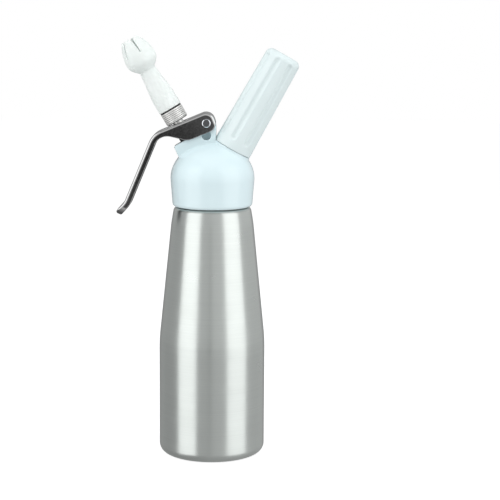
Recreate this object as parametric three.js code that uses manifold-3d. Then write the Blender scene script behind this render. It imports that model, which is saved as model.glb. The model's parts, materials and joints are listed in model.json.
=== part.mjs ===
// Whipped cream dispenser: an aluminium bottle with a screwed head. The head carries a sprung
// dispensing valve, worked by a pressed lever, on one side and a gas charger in its holder on the
// other. Millimetres, +Z up. The origin is the centre of the bottle's flat base. The lever and the
// nozzle lean to -X, the charger holder leans to +X, and everything is symmetric about y = 0.

import * as THREE from 'three';
import { mergeVertices } from 'three/addons/utils/BufferGeometryUtils.js';
import Module from 'manifold-3d';

const wasm = await Module();
wasm.setup();

const { degToRad } = THREE.MathUtils;

// Gaps, cuts and facets
const FIT = 0.3; // clearance between pieces that seat on, screw into or slide in each other
const OVERRUN = 2; // how far a cutting tool runs past the face that it cuts
const CHORD_ERROR = 0.17; // how far a facet may lie inside its true curve
const SAME_POINT = 0.001; // outline points closer than this are one point
const LEAST_FACETS = 16;

// Bottle
const BOTTLE_RADIUS = 40;
const BOTTLE_WALL = 1.5;
const BOTTLE_FLOOR = 2.2;
const BOTTLE_STRAIGHT = 88; // height of the straight side below the cone
const CONE_BLEND = 120; // radius of the soft bend between straight side and cone
const BASE_CORNER = 7;
const BASE_GROOVE_RADIUS = 22; // pressed stiffening groove under the base
const BASE_GROOVE_WIDTH = 4;
const BASE_GROOVE_DEPTH = 0.8;
const SHOULDER_HEIGHT = 189.5;
const SHOULDER_RADIUS = 29.6;
const SHOULDER_ROUND = 3.9;
const NECK_RADIUS = 25.8;
const NECK_LENGTH = 15.9;
const NECK_LIP = 0.6;

// Head casting
const HEAD_RADIUS = 31.45;
const HEAD_RIM_RADIUS = 29.9;
const HEAD_RIM_ROUND = 2.4;
const HEAD_RIM_GAP = 0.4; // dark line between the head's rim and the bottle's shoulder
const HEAD_BELT = 20.7; // height of the widest line above the rim
const DOME_RISE = 26.6; // height of the dome above the widest line
const DOME_STEPS = 10;
const SKIRT_CLEARANCE = 1.2; // room for the thread between neck and head
const GASKET_THICKNESS = 2;
const GASKET_WIDTH = 5;
const HEAD_RECESS_RADIUS = 19.5; // hollow over the bottle's mouth
const HEAD_RECESS_DEPTH = 3.5;

// Nozzle line: an axis that leans to -X. Heights on it start where it crosses the bottle's axis.
const NOZZLE_TILT = degToRad(30.7);
const NOZZLE_ROOT_DROP = 1.6; // from the head's widest line down to that crossing
const BOSS_TOP = 36.6; // height of the boss's flat top on the nozzle line
const BOSS_HALF_LENGTH = 11.7;
const BOSS_HALF_WIDTH = 7.7;
const BOSS_DRAFT = degToRad(6);
const BOSS_EDGE = 1;
const BOSS_DEPTH = 20; // how far the boss reaches down into the dome

// Valve seat and rooms in the boss, upwards along the nozzle line
const SEAT_HEIGHT = 12;
const SEAT_POCKET_RADIUS = 8;
const PORT_ROOM_RADIUS = 5;
const PORT_ROOM_LENGTH = 4.5;
const GUIDE_LENGTH = 4;
const SPRING_ROOM_RADIUS = 6.3;

// Dispensing valve
const STEM_RADIUS = 4;
const STEM_BORE = 2.3;
const STEM_PORT_RADIUS = 1.1;
const POPPET_RADIUS = 6.6;
const POPPET_THICKNESS = 2.4;
const VALVE_SEAL_THICKNESS = 1.6;
const O_RING_SECTION = 1.6;
const O_RING_SQUEEZE_GAP = 0.15;
const WASHER_THICKNESS = 0.6;
const SPRING_WIRE = 1.1;
const SPRING_TURNS = 4.5;
const SPRING_STEPS_PER_TURN = 12;
const SPRING_SIDES = 6;
const GAP_POINTS_PER_TURN = 60; // points on the wire at which the gap between turns is measured
const CAP_SKIRT_DEPTH = 1.6; // how far the cap's skirt stands in the boss at rest
const CAP_FLANGE_RADIUS = 7.1;
const CAP_FLANGE_THICKNESS = 2.3;
const CAP_HUB_RADIUS = 5.4;
const CAP_HUB_CROWN = 0.8;

// Nozzle adapter and its seal
const ADAPTER_RADIUS = 8.75;
const ADAPTER_CHAMFER = 1.2;
const ADAPTER_BAND = 9.5; // height of the grooved band
const ADAPTER_GROOVES = 9;
const ADAPTER_GROOVE_DEPTH = 0.3;
const ADAPTER_LAND = 0.5; // plain rim above and below the grooves
const SPIGOT_RADIUS = 6.5;
const SPIGOT_LENGTH = 8.6;
const SPIGOT_MOUTH_RADIUS = 3;
const SPIGOT_MOUTH_DEPTH = 2.8;
const NOZZLE_SEAL_THICKNESS = 0.6;

// Tulip nozzle
const NOZZLE_LENGTH = 59.4;
const NOZZLE_BASE_RADIUS = 8.9;
const NOZZLE_SOCKET_DEPTH = 9.6;
const NOZZLE_WAIST_RADIUS = 6.45;
const TULIP_RADIUS = 11.85;
const NOZZLE_WALL = 1.9;
const NOZZLE_MOUTH_WALL = 1.2;
const TULIP_SLOTS = 6;
const TULIP_SLOT_DEPTH = 12.5;
const TULIP_SLOT_MOUTH = 3.3;
const TULIP_SLOT_ROOT = 0.9;
const TULIP_SLOT_TURN = degToRad(16); // first slot, measured from the front
const TULIP_STEPS = 15;
// Outline of the nozzle above its socket: share of its whole length, and share of the way from the
// waist's radius (0) to the base's radius (negative side) or to the tulip's radius (1)
const TUBE_LENGTH_SHARES = [0.162, 0.3, 0.42, 0.535];
const TUBE_TAPER_SHARES = [1, 0.68, 0.28, 0];
const TULIP_LENGTH_SHARES = [0.563, 0.612, 0.66, 0.715, 0.78, 0.85, 0.925, 0.975, 1];
const TULIP_SWELL_SHARES = [0.01, 0.54, 0.9, 1, 0.96, 0.78, 0.48, 0.2, 0];

// Lever: a pressed steel channel that turns on a pin through the ear
const PIN_OFFSET = 18.14; // from the nozzle line across to the pin's centre
const PIN_LIFT = 2.76; // height of the pin's centre over the boss's top
const PIN_RADIUS = 2.4;
const PIN_HEAD_RADIUS = 3.15;
const PIN_HEAD_THICKNESS = 1;
const PIN_HEAD_CHAMFER = 0.6;
const PIN_FLAT_RADIUS = 2.2;
const CLIP_THICKNESS = 0.6;
const CLIP_RADIUS = 4.1;
const CLIP_GROOVE_DEPTH = 0.7;
const CLIP_MOUTH = degToRad(80);
const PIN_TAIL = 0.8;
const EAR_RADIUS = 5.2;
const EAR_BACK = 7.1; // from the pin's centre to the ear's widened back face
const EAR_STEP = 1.6; // how far below the pin the ear widens to that face
const EAR_FOOT_ROUND = 2;
const RECESS_DROP = 9.1; // from the pin's centre down to the blind recess's centre
const RECESS_RADIUS = 3.55;
const RECESS_DEPTH = 3.2;
const LEVER_TILT = degToRad(22.7);
const LEVER_SWING = degToRad(10); // squeeze
const LEVER_SHEET = 1.2;
const LEVER_HALF_WIDTH = 9.3;
const LEVER_EDGE_ROUND = 2; // outer radius of the two long bends
const LEVER_TOP = 8; // from the pin's centre up to the lever's top face
const CHEEK_DEPTH = 14.8;
const LEVER_END = 6.8; // from the pin's centre to the end wall's face
const CHEEK_LENGTH = 17.6; // straight lower edge of the cheek, from the pin towards the throat
const CHEEK_ROUND = 10;
const THROAT_ANGLE = degToRad(35);
const THROAT_ROUND = 10;
const LEVER_REACH = 40.3; // from the pin to the corner between top wall and handle
const LEVER_BEND = degToRad(44.8);
const BEND_ROUND = 16;
const HANDLE_LENGTH = 55;
const HANDLE_DEPTH = 5;
const TIP_LENGTH = 10.8;
const TIP_FLARE = degToRad(19);
const TIP_FLARE_ROUND = 12;
const TIP_PLAN_ROUND = 7;
const END_WALL_DROP = 1; // how far the end wall reaches below the pin's centre
const STEM_SLOT_CLEARANCE = 0.6;
const SHEET_MARGIN = 4; // the folded blank reaches this far past the cheeks before they are trimmed

// Charger line: an axis that leans to +X. Heights on it start where it crosses the bottle's axis.
const CHARGER_TILT = degToRad(29.2);
const CHARGER_ROOT_DROP = 4; // from the head's widest line down to that crossing
const HOLDER_SEAT = 30.1; // height of the head's face under the holder
const HOLDER_LENGTH = 79.6;
const HOLDER_BASE_RADIUS = 14.9;
const HOLDER_TOP_RADIUS = 13.7;
const HOLDER_TOP_ROUND = 4.8;
const HOLDER_RELIEF = 0.6; // gap between the holder and the back of the ear
const SOCKET_DEPTH = 15;
const FLUTE_COUNT = 8;
const FLUTE_RADIUS = 1.75;
const FLUTE_DEPTH = 0.8;
const FLUTE_FROM_BASE = 9;
const FLUTE_FROM_TOP = 6.5;
const INTAKE_STUD_RADIUS = 11.6;
const INTAKE_STUD_LENGTH = 13.9;
const INTAKE_CUP_RADIUS = 5.5;
const INTAKE_CUP_DEPTH = 4;
const INTAKE_BORE_RADIUS = 4.9;
const INTAKE_BORE_FOOT = 19.5;
const INTAKE_POCKET_RADIUS = 5.4;

// Gas inlet
const INLET_NOSE_RADIUS = 2.9;
const INLET_NOSE_LENGTH = 6.5;
const INLET_BORE = 1.2;
const INLET_PORT_RADIUS = 0.7;
const INLET_END_WALL = 1.2;
const NEEDLE_RADIUS = 0.9;
const NEEDLE_BORE = 0.45;
const NEEDLE_BASE_RADIUS = 2.2;
const NEEDLE_BASE_THICKNESS = 2.2;
const NEEDLE_REACH = 2.2; // how far the needle stands into the charger's neck
const NEEDLE_POINT = 1.4;
const CHARGER_SEAL_THICKNESS = 1;
const SLEEVE_THICKNESS = 1;
const SLEEVE_LENGTH = 4;

// Gas charger
const CHARGER_RADIUS = 9.3;
const CHARGER_LENGTH = 65.5;
const CHARGER_NECK_RADIUS = 4.4;
const CHARGER_NECK_LENGTH = 9;
const CHARGER_SHOULDER = 6;
const CHARGER_WALL = 1.2;
const CHARGER_HOLE_RADIUS = 1.2;
const CHARGER_NECK_ROUND = 0.8;
const CHARGER_SHOULDER_ROUND = 5;
const CHARGER_CLEARANCE = 0.5; // between the charger and the holder's bore

// Sizes that follow from the ones above
const neckTop = SHOULDER_HEIGHT + NECK_LENGTH;
const headRim = SHOULDER_HEIGHT + HEAD_RIM_GAP;
const headBelt = headRim + HEAD_BELT;
const headCeiling = neckTop + GASKET_THICKNESS + 2 * FIT;
const skirtRadius = NECK_RADIUS + SKIRT_CLEARANCE;
const leverInside = LEVER_HALF_WIDTH - LEVER_SHEET;
const pinInset = LEVER_HALF_WIDTH + FIT;

// Places of the three working axes
function frameAt(x, z, turn) {
  const frame = new THREE.Group();
  frame.position.set(x, 0, z);
  frame.rotation.y = turn;
  frame.updateMatrix();
  return frame;
}
const nozzleLine = frameAt(0, headBelt - NOZZLE_ROOT_DROP, -NOZZLE_TILT);
const chargerLine = frameAt(0, headBelt - CHARGER_ROOT_DROP, CHARGER_TILT);

// The lever's pin lies beside the nozzle line, just over the boss's top
const pinRise = BOSS_TOP + PIN_LIFT;
const pinCentre = new THREE.Vector3(PIN_OFFSET, 0, pinRise).applyMatrix4(nozzleLine.matrix);
const leverFrame = frameAt(pinCentre.x, pinCentre.z, -LEVER_TILT);
const pinFrame = frameAt(pinCentre.x, pinCentre.z, 0);
const leverLag = LEVER_TILT - NOZZLE_TILT; // slope of the top wall against the adapter's face
const valveStroke = PIN_OFFSET * LEVER_SWING;

// Height on the nozzle line of a lever face that lies `out` from the pin, at offset `across`
function leverFaceHeight(out, across) {
  return pinRise + (out + (across - PIN_OFFSET) * Math.sin(leverLag)) / Math.cos(leverLag);
}

// Where the stem's axis crosses the lever's top wall, along the lever, at a given squeeze
function stemCrossing(squeeze) {
  const slope = leverLag + squeeze;
  const wallMiddle = LEVER_TOP - LEVER_SHEET / 2;
  const height = (wallMiddle - PIN_OFFSET * Math.sin(slope)) / Math.cos(slope);
  return height * Math.sin(slope) - PIN_OFFSET * Math.cos(slope);
}

// Heights on the nozzle line that several pieces share
const guideFoot = SEAT_HEIGHT + PORT_ROOM_LENGTH;
const packingFloor = guideFoot + GUIDE_LENGTH;
const washerFoot = packingFloor + O_RING_SECTION + 2 * FIT;
const springFoot = washerFoot + WASHER_THICKNESS + FIT;
const capFoot = BOSS_TOP - CAP_SKIRT_DEPTH;
const flangeFoot = BOSS_TOP + valveStroke + FIT;
const capTop = leverFaceHeight(LEVER_TOP - LEVER_SHEET, CAP_HUB_RADIUS - CAP_HUB_CROWN) - FIT;
const adapterFoot = leverFaceHeight(LEVER_TOP, ADAPTER_CHAMFER - ADAPTER_RADIUS) + FIT;
const bandTop = adapterFoot + ADAPTER_BAND;
const spigotTop = bandTop + SPIGOT_LENGTH;
const nozzleFoot = bandTop + NOZZLE_SEAL_THICKNESS + 2 * FIT;
const nozzleTip = nozzleFoot + NOZZLE_LENGTH;

// Heights on the charger line that several pieces share
const studTop = HOLDER_SEAT + INTAKE_STUD_LENGTH;
const cupFloor = studTop - INTAKE_CUP_DEPTH;
const inletTop = cupFloor - FIT;
const needleSeat = inletTop - NEEDLE_BASE_THICKNESS - FIT;
const sealTop = cupFloor + FIT + CHARGER_SEAL_THICKNESS;
const chargerFoot = sealTop + FIT;
const shankFoot = INTAKE_BORE_FOOT + FIT;
const noseFoot = shankFoot - INLET_NOSE_LENGTH;
const portOnNose = noseFoot + INLET_NOSE_LENGTH / 2;
const holderFoot = HOLDER_SEAT + FIT;
const holderTop = holderFoot + HOLDER_LENGTH;

// Angle of one facet on a curve of this radius
function facetAngle(radius) {
  return 2 * Math.acos(Math.max(0, 1 - CHORD_ERROR / radius));
}

function facetsFor(radius) {
  return Math.max(LEAST_FACETS, 4 * Math.ceil(Math.PI / 2 / facetAngle(radius)));
}

// Outline through corner points [x, y, fillet radius], with each fillet cut into chords
function rounded(corners) {
  const points = [];
  const add = (point) => {
    const last = points.at(-1);
    if (!last || last.distanceTo(point) > SAME_POINT) points.push(point);
  };
  const vertex = (i) => new THREE.Vector2(...corners.at(i % corners.length).slice(0, 2));
  corners.forEach((corner, i) => {
    const here = vertex(i);
    const radius = corner[2] ?? 0;
    if (radius <= 0) {
      add(here);
      return;
    }
    const before = vertex(i - 1).sub(here).normalize();
    const after = vertex(i + 1).sub(here).normalize();
    const half = Math.acos(before.dot(after)) / 2;
    const middle = before.clone().add(after).normalize();
    const centre = here.clone().addScaledVector(middle, radius / Math.sin(half));
    const start = here.clone().addScaledVector(before, radius / Math.tan(half));
    const sweep = -Math.sign(before.cross(after)) * (Math.PI - 2 * half);
    const steps = Math.ceil(Math.abs(sweep) / facetAngle(radius));
    for (let k = 0; k <= steps; k += 1) {
      add(start.clone().rotateAround(centre, (sweep * k) / steps));
    }
  });
  return points;
}

// Closed solid from a three.js geometry: welds it, drops empty triangles, turns its faces outward
// and puts it in place
function solid(geometry, place = new THREE.Matrix4()) {
  geometry.deleteAttribute('normal');
  geometry.deleteAttribute('uv');
  const welded = mergeVertices(geometry, SAME_POINT / 2);
  const corners = welded.getIndex().array;
  const at = (i) => new THREE.Vector3().fromBufferAttribute(welded.getAttribute('position'), i);
  const triangles = [];
  let volume = 0;
  for (let i = 0; i < corners.length; i += 3) {
    const [a, b, c] = corners.slice(i, i + 3);
    if (a !== b && b !== c && c !== a) {
      triangles.push([a, b, c]);
      volume += at(a).dot(at(b).cross(at(c)));
    }
  }
  if (volume < 0) triangles.forEach((triangle) => triangle.reverse());
  welded.applyMatrix4(place);
  return new wasm.Manifold(new wasm.Mesh({
    numProp: 3,
    vertProperties: Float32Array.from(welded.getAttribute('position').array),
    triVerts: Uint32Array.from(triangles.flat()),
  }));
}

const standUp = new THREE.Matrix4().makeRotationX(Math.PI / 2);

// Solid of revolution about the local z axis; the profile holds [radius, height] points
function turned(profile, place = new THREE.Matrix4()) {
  const widest = Math.max(...profile.map((point) => point.x));
  const geometry = new THREE.LatheGeometry(profile, facetsFor(widest));
  return solid(geometry, place.clone().multiply(standUp));
}

// Ring of revolution: the profile closes on itself
function turnedRing(corners, place) {
  const profile = rounded(corners);
  return turned([...profile, profile[0].clone()], place);
}

// Plain round bar about the local z axis
function rod(radius, from, to, place) {
  return turned(rounded([[0, from], [radius, from], [radius, to], [0, to]]), place);
}

// Plate with its outline in the x-z plane and its thickness along y, with rounded long edges
function plate(outline, halfWidth, edge, place = new THREE.Matrix4()) {
  const depth = 2 * (halfWidth - edge);
  const geometry = new THREE.ExtrudeGeometry(new THREE.Shape(outline), {
    depth,
    steps: 1,
    bevelEnabled: edge > 0,
    bevelThickness: edge,
    bevelSize: edge,
    bevelOffset: -edge,
    bevelSegments: 3,
  });
  geometry.translate(0, 0, -depth / 2);
  return solid(geometry, place.clone().multiply(standUp));
}

function join(first, ...others) {
  return others.reduce((whole, other) => whole.add(other), first);
}

function cut(body, ...tools) {
  return tools.reduce((rest, tool) => rest.subtract(tool), body);
}

function named(name, body, material) {
  const { numProp, vertProperties, triVerts } = body.getMesh();
  const geometry = new THREE.BufferGeometry();
  const positions = new THREE.InterleavedBuffer(vertProperties, numProp);
  geometry.setAttribute('position', new THREE.InterleavedBufferAttribute(positions, 3, 0));
  geometry.setIndex(new THREE.BufferAttribute(triVerts, 1));
  const mesh = new THREE.Mesh(geometry, material);
  mesh.name = name;
  return mesh;
}

function finish(color, roughness, metalness) {
  return new THREE.MeshStandardMaterial({ color, roughness, metalness });
}
const brushedAluminium = finish(0xb9bcbd, 0.35, 1);
const iceBluePaint = finish(0xd5eaf0, 0.35, 0.1);
const iceBluePlastic = finish(0xd3e3e6, 0.4, 0);
const whitePlastic = finish(0xeef3f1, 0.5, 0);
const polishedSteel = finish(0xc9ccce, 0.12, 1);
const turnedSteel = finish(0xd6d6d2, 0.3, 1);
const springSteel = finish(0x9a9c9e, 0.3, 1);
const brass = finish(0xb79a55, 0.35, 1);
const galvanizedSteel = finish(0xa7a9a8, 0.4, 1);
const blackPlastic = finish(0x1d1d1e, 0.5, 0);
const blackRubber = finish(0x161616, 0.8, 0);
const greySilicone = finish(0xc9cccb, 0.7, 0);

function bottle() {
  const inner = BOTTLE_RADIUS - BOTTLE_WALL;
  const neckBore = NECK_RADIUS - BOTTLE_WALL;
  const shoulderUnderside = SHOULDER_HEIGHT - BOTTLE_WALL;
  const grooveIn = BASE_GROOVE_RADIUS - BASE_GROOVE_WIDTH / 2;
  const grooveOut = BASE_GROOVE_RADIUS + BASE_GROOVE_WIDTH / 2;
  const profile = rounded([
    [0, 0],
    [grooveIn, 0],
    [grooveIn + BASE_GROOVE_DEPTH, BASE_GROOVE_DEPTH],
    [grooveOut - BASE_GROOVE_DEPTH, BASE_GROOVE_DEPTH],
    [grooveOut, 0],
    [BOTTLE_RADIUS, 0, BASE_CORNER],
    [BOTTLE_RADIUS, BOTTLE_STRAIGHT, CONE_BLEND],
    [SHOULDER_RADIUS, SHOULDER_HEIGHT, Math.min(SHOULDER_ROUND, SHOULDER_RADIUS - NECK_RADIUS)],
    [NECK_RADIUS, SHOULDER_HEIGHT],
    [NECK_RADIUS, neckTop, NECK_LIP],
    [neckBore, neckTop, NECK_LIP],
    [neckBore, shoulderUnderside],
    [SHOULDER_RADIUS - BOTTLE_WALL, shoulderUnderside, SHOULDER_ROUND - BOTTLE_WALL],
    [inner, BOTTLE_STRAIGHT, CONE_BLEND],
    [inner, BOTTLE_FLOOR, BASE_CORNER - BOTTLE_WALL],
    [0, BOTTLE_FLOOR],
  ]);
  return named('bottle', turned(profile), brushedAluminium);
}

function headGasket() {
  const outer = skirtRadius - FIT;
  const ring = turnedRing([
    [outer - GASKET_WIDTH, neckTop + FIT],
    [outer, neckTop + FIT],
    [outer, headCeiling - FIT],
    [outer - GASKET_WIDTH, headCeiling - FIT],
  ]);
  return named('head_gasket', ring, greySilicone);
}

// Skirt that widens upward and runs smoothly into an elliptical dome
function headDome() {
  const lean = Math.atan2((HEAD_RADIUS - HEAD_RIM_RADIUS) * DOME_RISE, HEAD_BELT * HEAD_RADIUS);
  const profile = rounded([[0, headRim], [HEAD_RIM_RADIUS, headRim, HEAD_RIM_ROUND],
    [HEAD_RADIUS, headBelt]]);
  profile.pop();
  for (let k = 0; k <= DOME_STEPS; k += 1) {
    const angle = -lean + ((Math.PI / 2 + lean) * k) / DOME_STEPS;
    profile.push(new THREE.Vector2(
      k < DOME_STEPS ? HEAD_RADIUS * Math.cos(angle) : 0,
      headBelt + DOME_RISE * Math.sin(angle),
    ));
  }
  return turned(profile);
}

// Block with flat sides that holds the valve and ends in the ear for the lever's pin
function valveBlock() {
  const onLine = (across, height, radius) => {
    const point = new THREE.Vector3(across, 0, height).applyMatrix4(nozzleLine.matrix);
    return [point.x, point.z, radius];
  };
  const earTop = pinRise + EAR_RADIUS;
  const earFront = PIN_OFFSET - EAR_RADIUS;
  const earCrest = pinCentre.x + EAR_RADIUS;
  const earBack = pinCentre.x + EAR_BACK;
  const bossFoot = BOSS_TOP - BOSS_DEPTH;
  const crestAcross = (earCrest + earTop * Math.sin(NOZZLE_TILT)) / Math.cos(NOZZLE_TILT);
  const outline = rounded([
    onLine(-BOSS_HALF_LENGTH - BOSS_DEPTH * Math.tan(BOSS_DRAFT), bossFoot),
    onLine(-BOSS_HALF_LENGTH, BOSS_TOP, BOSS_EDGE),
    onLine(earFront, BOSS_TOP, EAR_FOOT_ROUND),
    onLine(earFront, earTop, EAR_RADIUS),
    onLine(crestAcross, earTop, EAR_RADIUS),
    [earCrest, pinCentre.z - FIT],
    [earBack, pinCentre.z - EAR_STEP],
    [earBack, headBelt],
  ]);
  return plate(outline, BOSS_HALF_WIDTH, BOSS_EDGE);
}

const acrossPin = pinFrame.matrix.clone()
  .multiply(new THREE.Matrix4().makeRotationX(-Math.PI / 2));

function headShell() {
  const alongNozzle = nozzleLine.matrix;
  const alongCharger = chargerLine.matrix;
  const recessPlace = acrossPin.clone()
    .multiply(new THREE.Matrix4().makeTranslation(0, RECESS_DROP, 0));
  const recessFloor = BOSS_HALF_WIDTH - RECESS_DEPTH;
  const past = BOSS_HALF_WIDTH + OVERRUN;
  const casting = join(
    headDome(),
    rod(HOLDER_BASE_RADIUS, 0, HOLDER_SEAT, alongCharger),
    valveBlock(),
  );
  const seated = cut(
    casting,
    rod(HOLDER_BASE_RADIUS + HOLDER_RELIEF, HOLDER_SEAT, HOLDER_SEAT + HOLDER_LENGTH, alongCharger),
  );
  const shell = cut(
    join(seated, rod(INTAKE_STUD_RADIUS, 0, studTop, alongCharger)),
    rod(skirtRadius, headRim - OVERRUN, headCeiling),
    rod(HEAD_RECESS_RADIUS, headRim, headCeiling + HEAD_RECESS_DEPTH),
    rod(SEAT_POCKET_RADIUS, 0, SEAT_HEIGHT, alongNozzle),
    rod(PORT_ROOM_RADIUS, 0, guideFoot, alongNozzle),
    rod(STEM_RADIUS + FIT, 0, BOSS_TOP, alongNozzle),
    rod(SPRING_ROOM_RADIUS, packingFloor, BOSS_TOP + OVERRUN, alongNozzle),
    rod(INTAKE_POCKET_RADIUS, 0, INTAKE_BORE_FOOT, alongCharger),
    rod(INTAKE_BORE_RADIUS, 0, studTop, alongCharger),
    rod(INTAKE_CUP_RADIUS, studTop - INTAKE_CUP_DEPTH, studTop + OVERRUN, alongCharger),
    rod(PIN_RADIUS + FIT, -past, past, acrossPin),
    rod(RECESS_RADIUS, recessFloor, past, recessPlace),
    rod(RECESS_RADIUS, -past, -recessFloor, recessPlace),
  );
  return named('head_shell', shell, iceBluePaint);
}

function valveStem() {
  const sealFoot = SEAT_HEIGHT - FIT - VALVE_SEAL_THICKNESS;
  const poppetTop = sealFoot - FIT;
  const poppetFoot = poppetTop - POPPET_THICKNESS;
  const stemTop = spigotTop - SPIGOT_MOUTH_DEPTH - FIT;
  const portHeight = SEAT_HEIGHT + PORT_ROOM_LENGTH / 2;
  const body = turned(rounded([
    [0, poppetFoot],
    [POPPET_RADIUS, poppetFoot, POPPET_THICKNESS / 3],
    [POPPET_RADIUS, poppetTop],
    [STEM_RADIUS, poppetTop],
    [STEM_RADIUS, stemTop],
    [0, stemTop],
  ]));
  const acrossPort = (turn) => new THREE.Matrix4().makeTranslation(0, 0, portHeight)
    .multiply(new THREE.Matrix4().makeRotationZ(turn))
    .multiply(new THREE.Matrix4().makeRotationX(Math.PI / 2));
  const past = STEM_RADIUS + OVERRUN;
  const stem = cut(
    body,
    rod(STEM_BORE, portHeight - STEM_PORT_RADIUS, stemTop + OVERRUN),
    rod(STEM_PORT_RADIUS, -past, past, acrossPort(0)),
    rod(STEM_PORT_RADIUS, -past, past, acrossPort(Math.PI / 2)),
  );
  return named('valve_stem', stem, turnedSteel);
}

function valveSeal() {
  const top = SEAT_HEIGHT - FIT;
  const ring = turnedRing([
    [STEM_RADIUS + FIT, top - VALVE_SEAL_THICKNESS],
    [POPPET_RADIUS, top - VALVE_SEAL_THICKNESS],
    [POPPET_RADIUS, top],
    [STEM_RADIUS + FIT, top],
  ]);
  return named('valve_seal', ring, blackRubber);
}

function stemORing() {
  const inner = STEM_RADIUS + O_RING_SQUEEZE_GAP;
  const outer = inner + O_RING_SECTION;
  const foot = packingFloor + FIT;
  const top = foot + O_RING_SECTION;
  const round = O_RING_SECTION / 2;
  const ring = turnedRing([
    [inner, foot, round], [outer, foot, round], [outer, top, round], [inner, top, round],
  ]);
  return named('stem_o_ring', ring, blackRubber);
}

function springWasher() {
  const inner = STEM_RADIUS + FIT;
  const outer = SPRING_ROOM_RADIUS - FIT;
  const top = washerFoot + WASHER_THICKNESS;
  const ring = turnedRing([[inner, washerFoot], [outer, washerFoot], [outer, top], [inner, top]]);
  return named('spring_washer', ring, turnedSteel);
}

// Round wire wound as one unbroken helix between the washer and the cap
class Helix extends THREE.Curve {
  constructor(radius, foot, top, turns) {
    super();
    Object.assign(this, { radius, foot, top, turns });
  }

  getPoint(share, target = new THREE.Vector3()) {
    const angle = 2 * Math.PI * this.turns * share;
    const height = THREE.MathUtils.lerp(this.foot, this.top, share);
    return target.set(this.radius * Math.cos(angle), this.radius * Math.sin(angle), height);
  }
}

// Least gap between two turns of the wire, measured between points over half a turn apart
function leastGap(helix) {
  const points = helix.getPoints(GAP_POINTS_PER_TURN * helix.turns);
  const nextTurn = GAP_POINTS_PER_TURN / 2;
  let least = Infinity;
  points.forEach((point, i) => {
    points.slice(i + nextTurn).forEach((other) => {
      least = Math.min(least, point.distanceTo(other) - SPRING_WIRE);
    });
  });
  return least;
}

function valveSpring() {
  const coilRadius = (STEM_RADIUS + SPRING_ROOM_RADIUS) / 2;
  const foot = springFoot + SPRING_WIRE / 2;
  const top = capFoot - FIT - SPRING_WIRE / 2;
  const helix = new Helix(coilRadius, foot, top, SPRING_TURNS);
  const section = [];
  for (let k = 0; k < SPRING_SIDES; k += 1) {
    const angle = (2 * Math.PI * k) / SPRING_SIDES;
    section.push(new THREE.Vector2(Math.cos(angle), Math.sin(angle)).multiplyScalar(SPRING_WIRE / 2));
  }
  const geometry = new THREE.ExtrudeGeometry(new THREE.Shape(section), {
    extrudePath: helix,
    steps: SPRING_TURNS * SPRING_STEPS_PER_TURN,
    bevelEnabled: false,
  });
  console.log(`valve spring: least gap between turns ${leastGap(helix).toFixed(2)} mm`);
  return named('valve_spring', solid(geometry), springSteel);
}

// Black cap screwed on the stem: the spring pushes its skirt up and the lever presses its hub down
function stemCap() {
  const bore = STEM_RADIUS + FIT;
  const skirt = SPRING_ROOM_RADIUS - FIT;
  const flangeTop = flangeFoot + CAP_FLANGE_THICKNESS;
  const cap = turnedRing([
    [bore, capFoot],
    [skirt, capFoot],
    [skirt, flangeFoot],
    [CAP_FLANGE_RADIUS, flangeFoot],
    [CAP_FLANGE_RADIUS, flangeTop],
    [CAP_HUB_RADIUS, flangeTop],
    [CAP_HUB_RADIUS, capTop, CAP_HUB_CROWN],
    [bore, capTop],
  ]);
  return named('stem_cap', cap, blackPlastic);
}

// Grooved grip band with a chamfered foot, and the spigot that the nozzle screws onto
function nozzleAdapter() {
  const bore = STEM_RADIUS + FIT;
  const pitch = (ADAPTER_BAND - ADAPTER_CHAMFER - 2 * ADAPTER_LAND) / ADAPTER_GROOVES;
  const grooveFoot = adapterFoot + ADAPTER_CHAMFER + ADAPTER_LAND;
  const band = [];
  for (let k = 0; k < ADAPTER_GROOVES; k += 1) {
    const start = grooveFoot + k * pitch;
    band.push([ADAPTER_RADIUS, start], [ADAPTER_RADIUS - ADAPTER_GROOVE_DEPTH, start + pitch / 2]);
  }
  const adapter = turnedRing([
    [bore, adapterFoot],
    [ADAPTER_RADIUS - ADAPTER_CHAMFER, adapterFoot],
    [ADAPTER_RADIUS, adapterFoot + ADAPTER_CHAMFER],
    ...band,
    [ADAPTER_RADIUS, grooveFoot + ADAPTER_GROOVES * pitch],
    [ADAPTER_RADIUS, bandTop],
    [SPIGOT_RADIUS, bandTop],
    [SPIGOT_RADIUS, spigotTop],
    [SPIGOT_MOUTH_RADIUS, spigotTop],
    [SPIGOT_MOUTH_RADIUS, spigotTop - SPIGOT_MOUTH_DEPTH],
    [bore, spigotTop - SPIGOT_MOUTH_DEPTH],
  ]);
  return named('nozzle_adapter', adapter, turnedSteel);
}

function nozzleSeal() {
  const foot = bandTop + FIT;
  const top = foot + NOZZLE_SEAL_THICKNESS;
  const inner = SPIGOT_RADIUS + FIT;
  const outer = ADAPTER_RADIUS - ADAPTER_GROOVE_DEPTH;
  const ring = turnedRing([[inner, foot], [outer, foot], [outer, top], [inner, top]]);
  return named('nozzle_seal', ring, blackRubber);
}

// Smooth profile through the tube's taper and the tulip's swell
function tulipProfile() {
  const tube = TUBE_LENGTH_SHARES.map((share, i) => new THREE.Vector2(
    THREE.MathUtils.lerp(NOZZLE_WAIST_RADIUS, NOZZLE_BASE_RADIUS, TUBE_TAPER_SHARES[i]),
    nozzleFoot + share * NOZZLE_LENGTH,
  ));
  const tulip = TULIP_LENGTH_SHARES.map((share, i) => new THREE.Vector2(
    THREE.MathUtils.lerp(NOZZLE_WAIST_RADIUS, TULIP_RADIUS, TULIP_SWELL_SHARES[i]),
    nozzleFoot + share * NOZZLE_LENGTH,
  ));
  return new THREE.SplineCurve([...tube, ...tulip]).getPoints(TULIP_STEPS);
}

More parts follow.
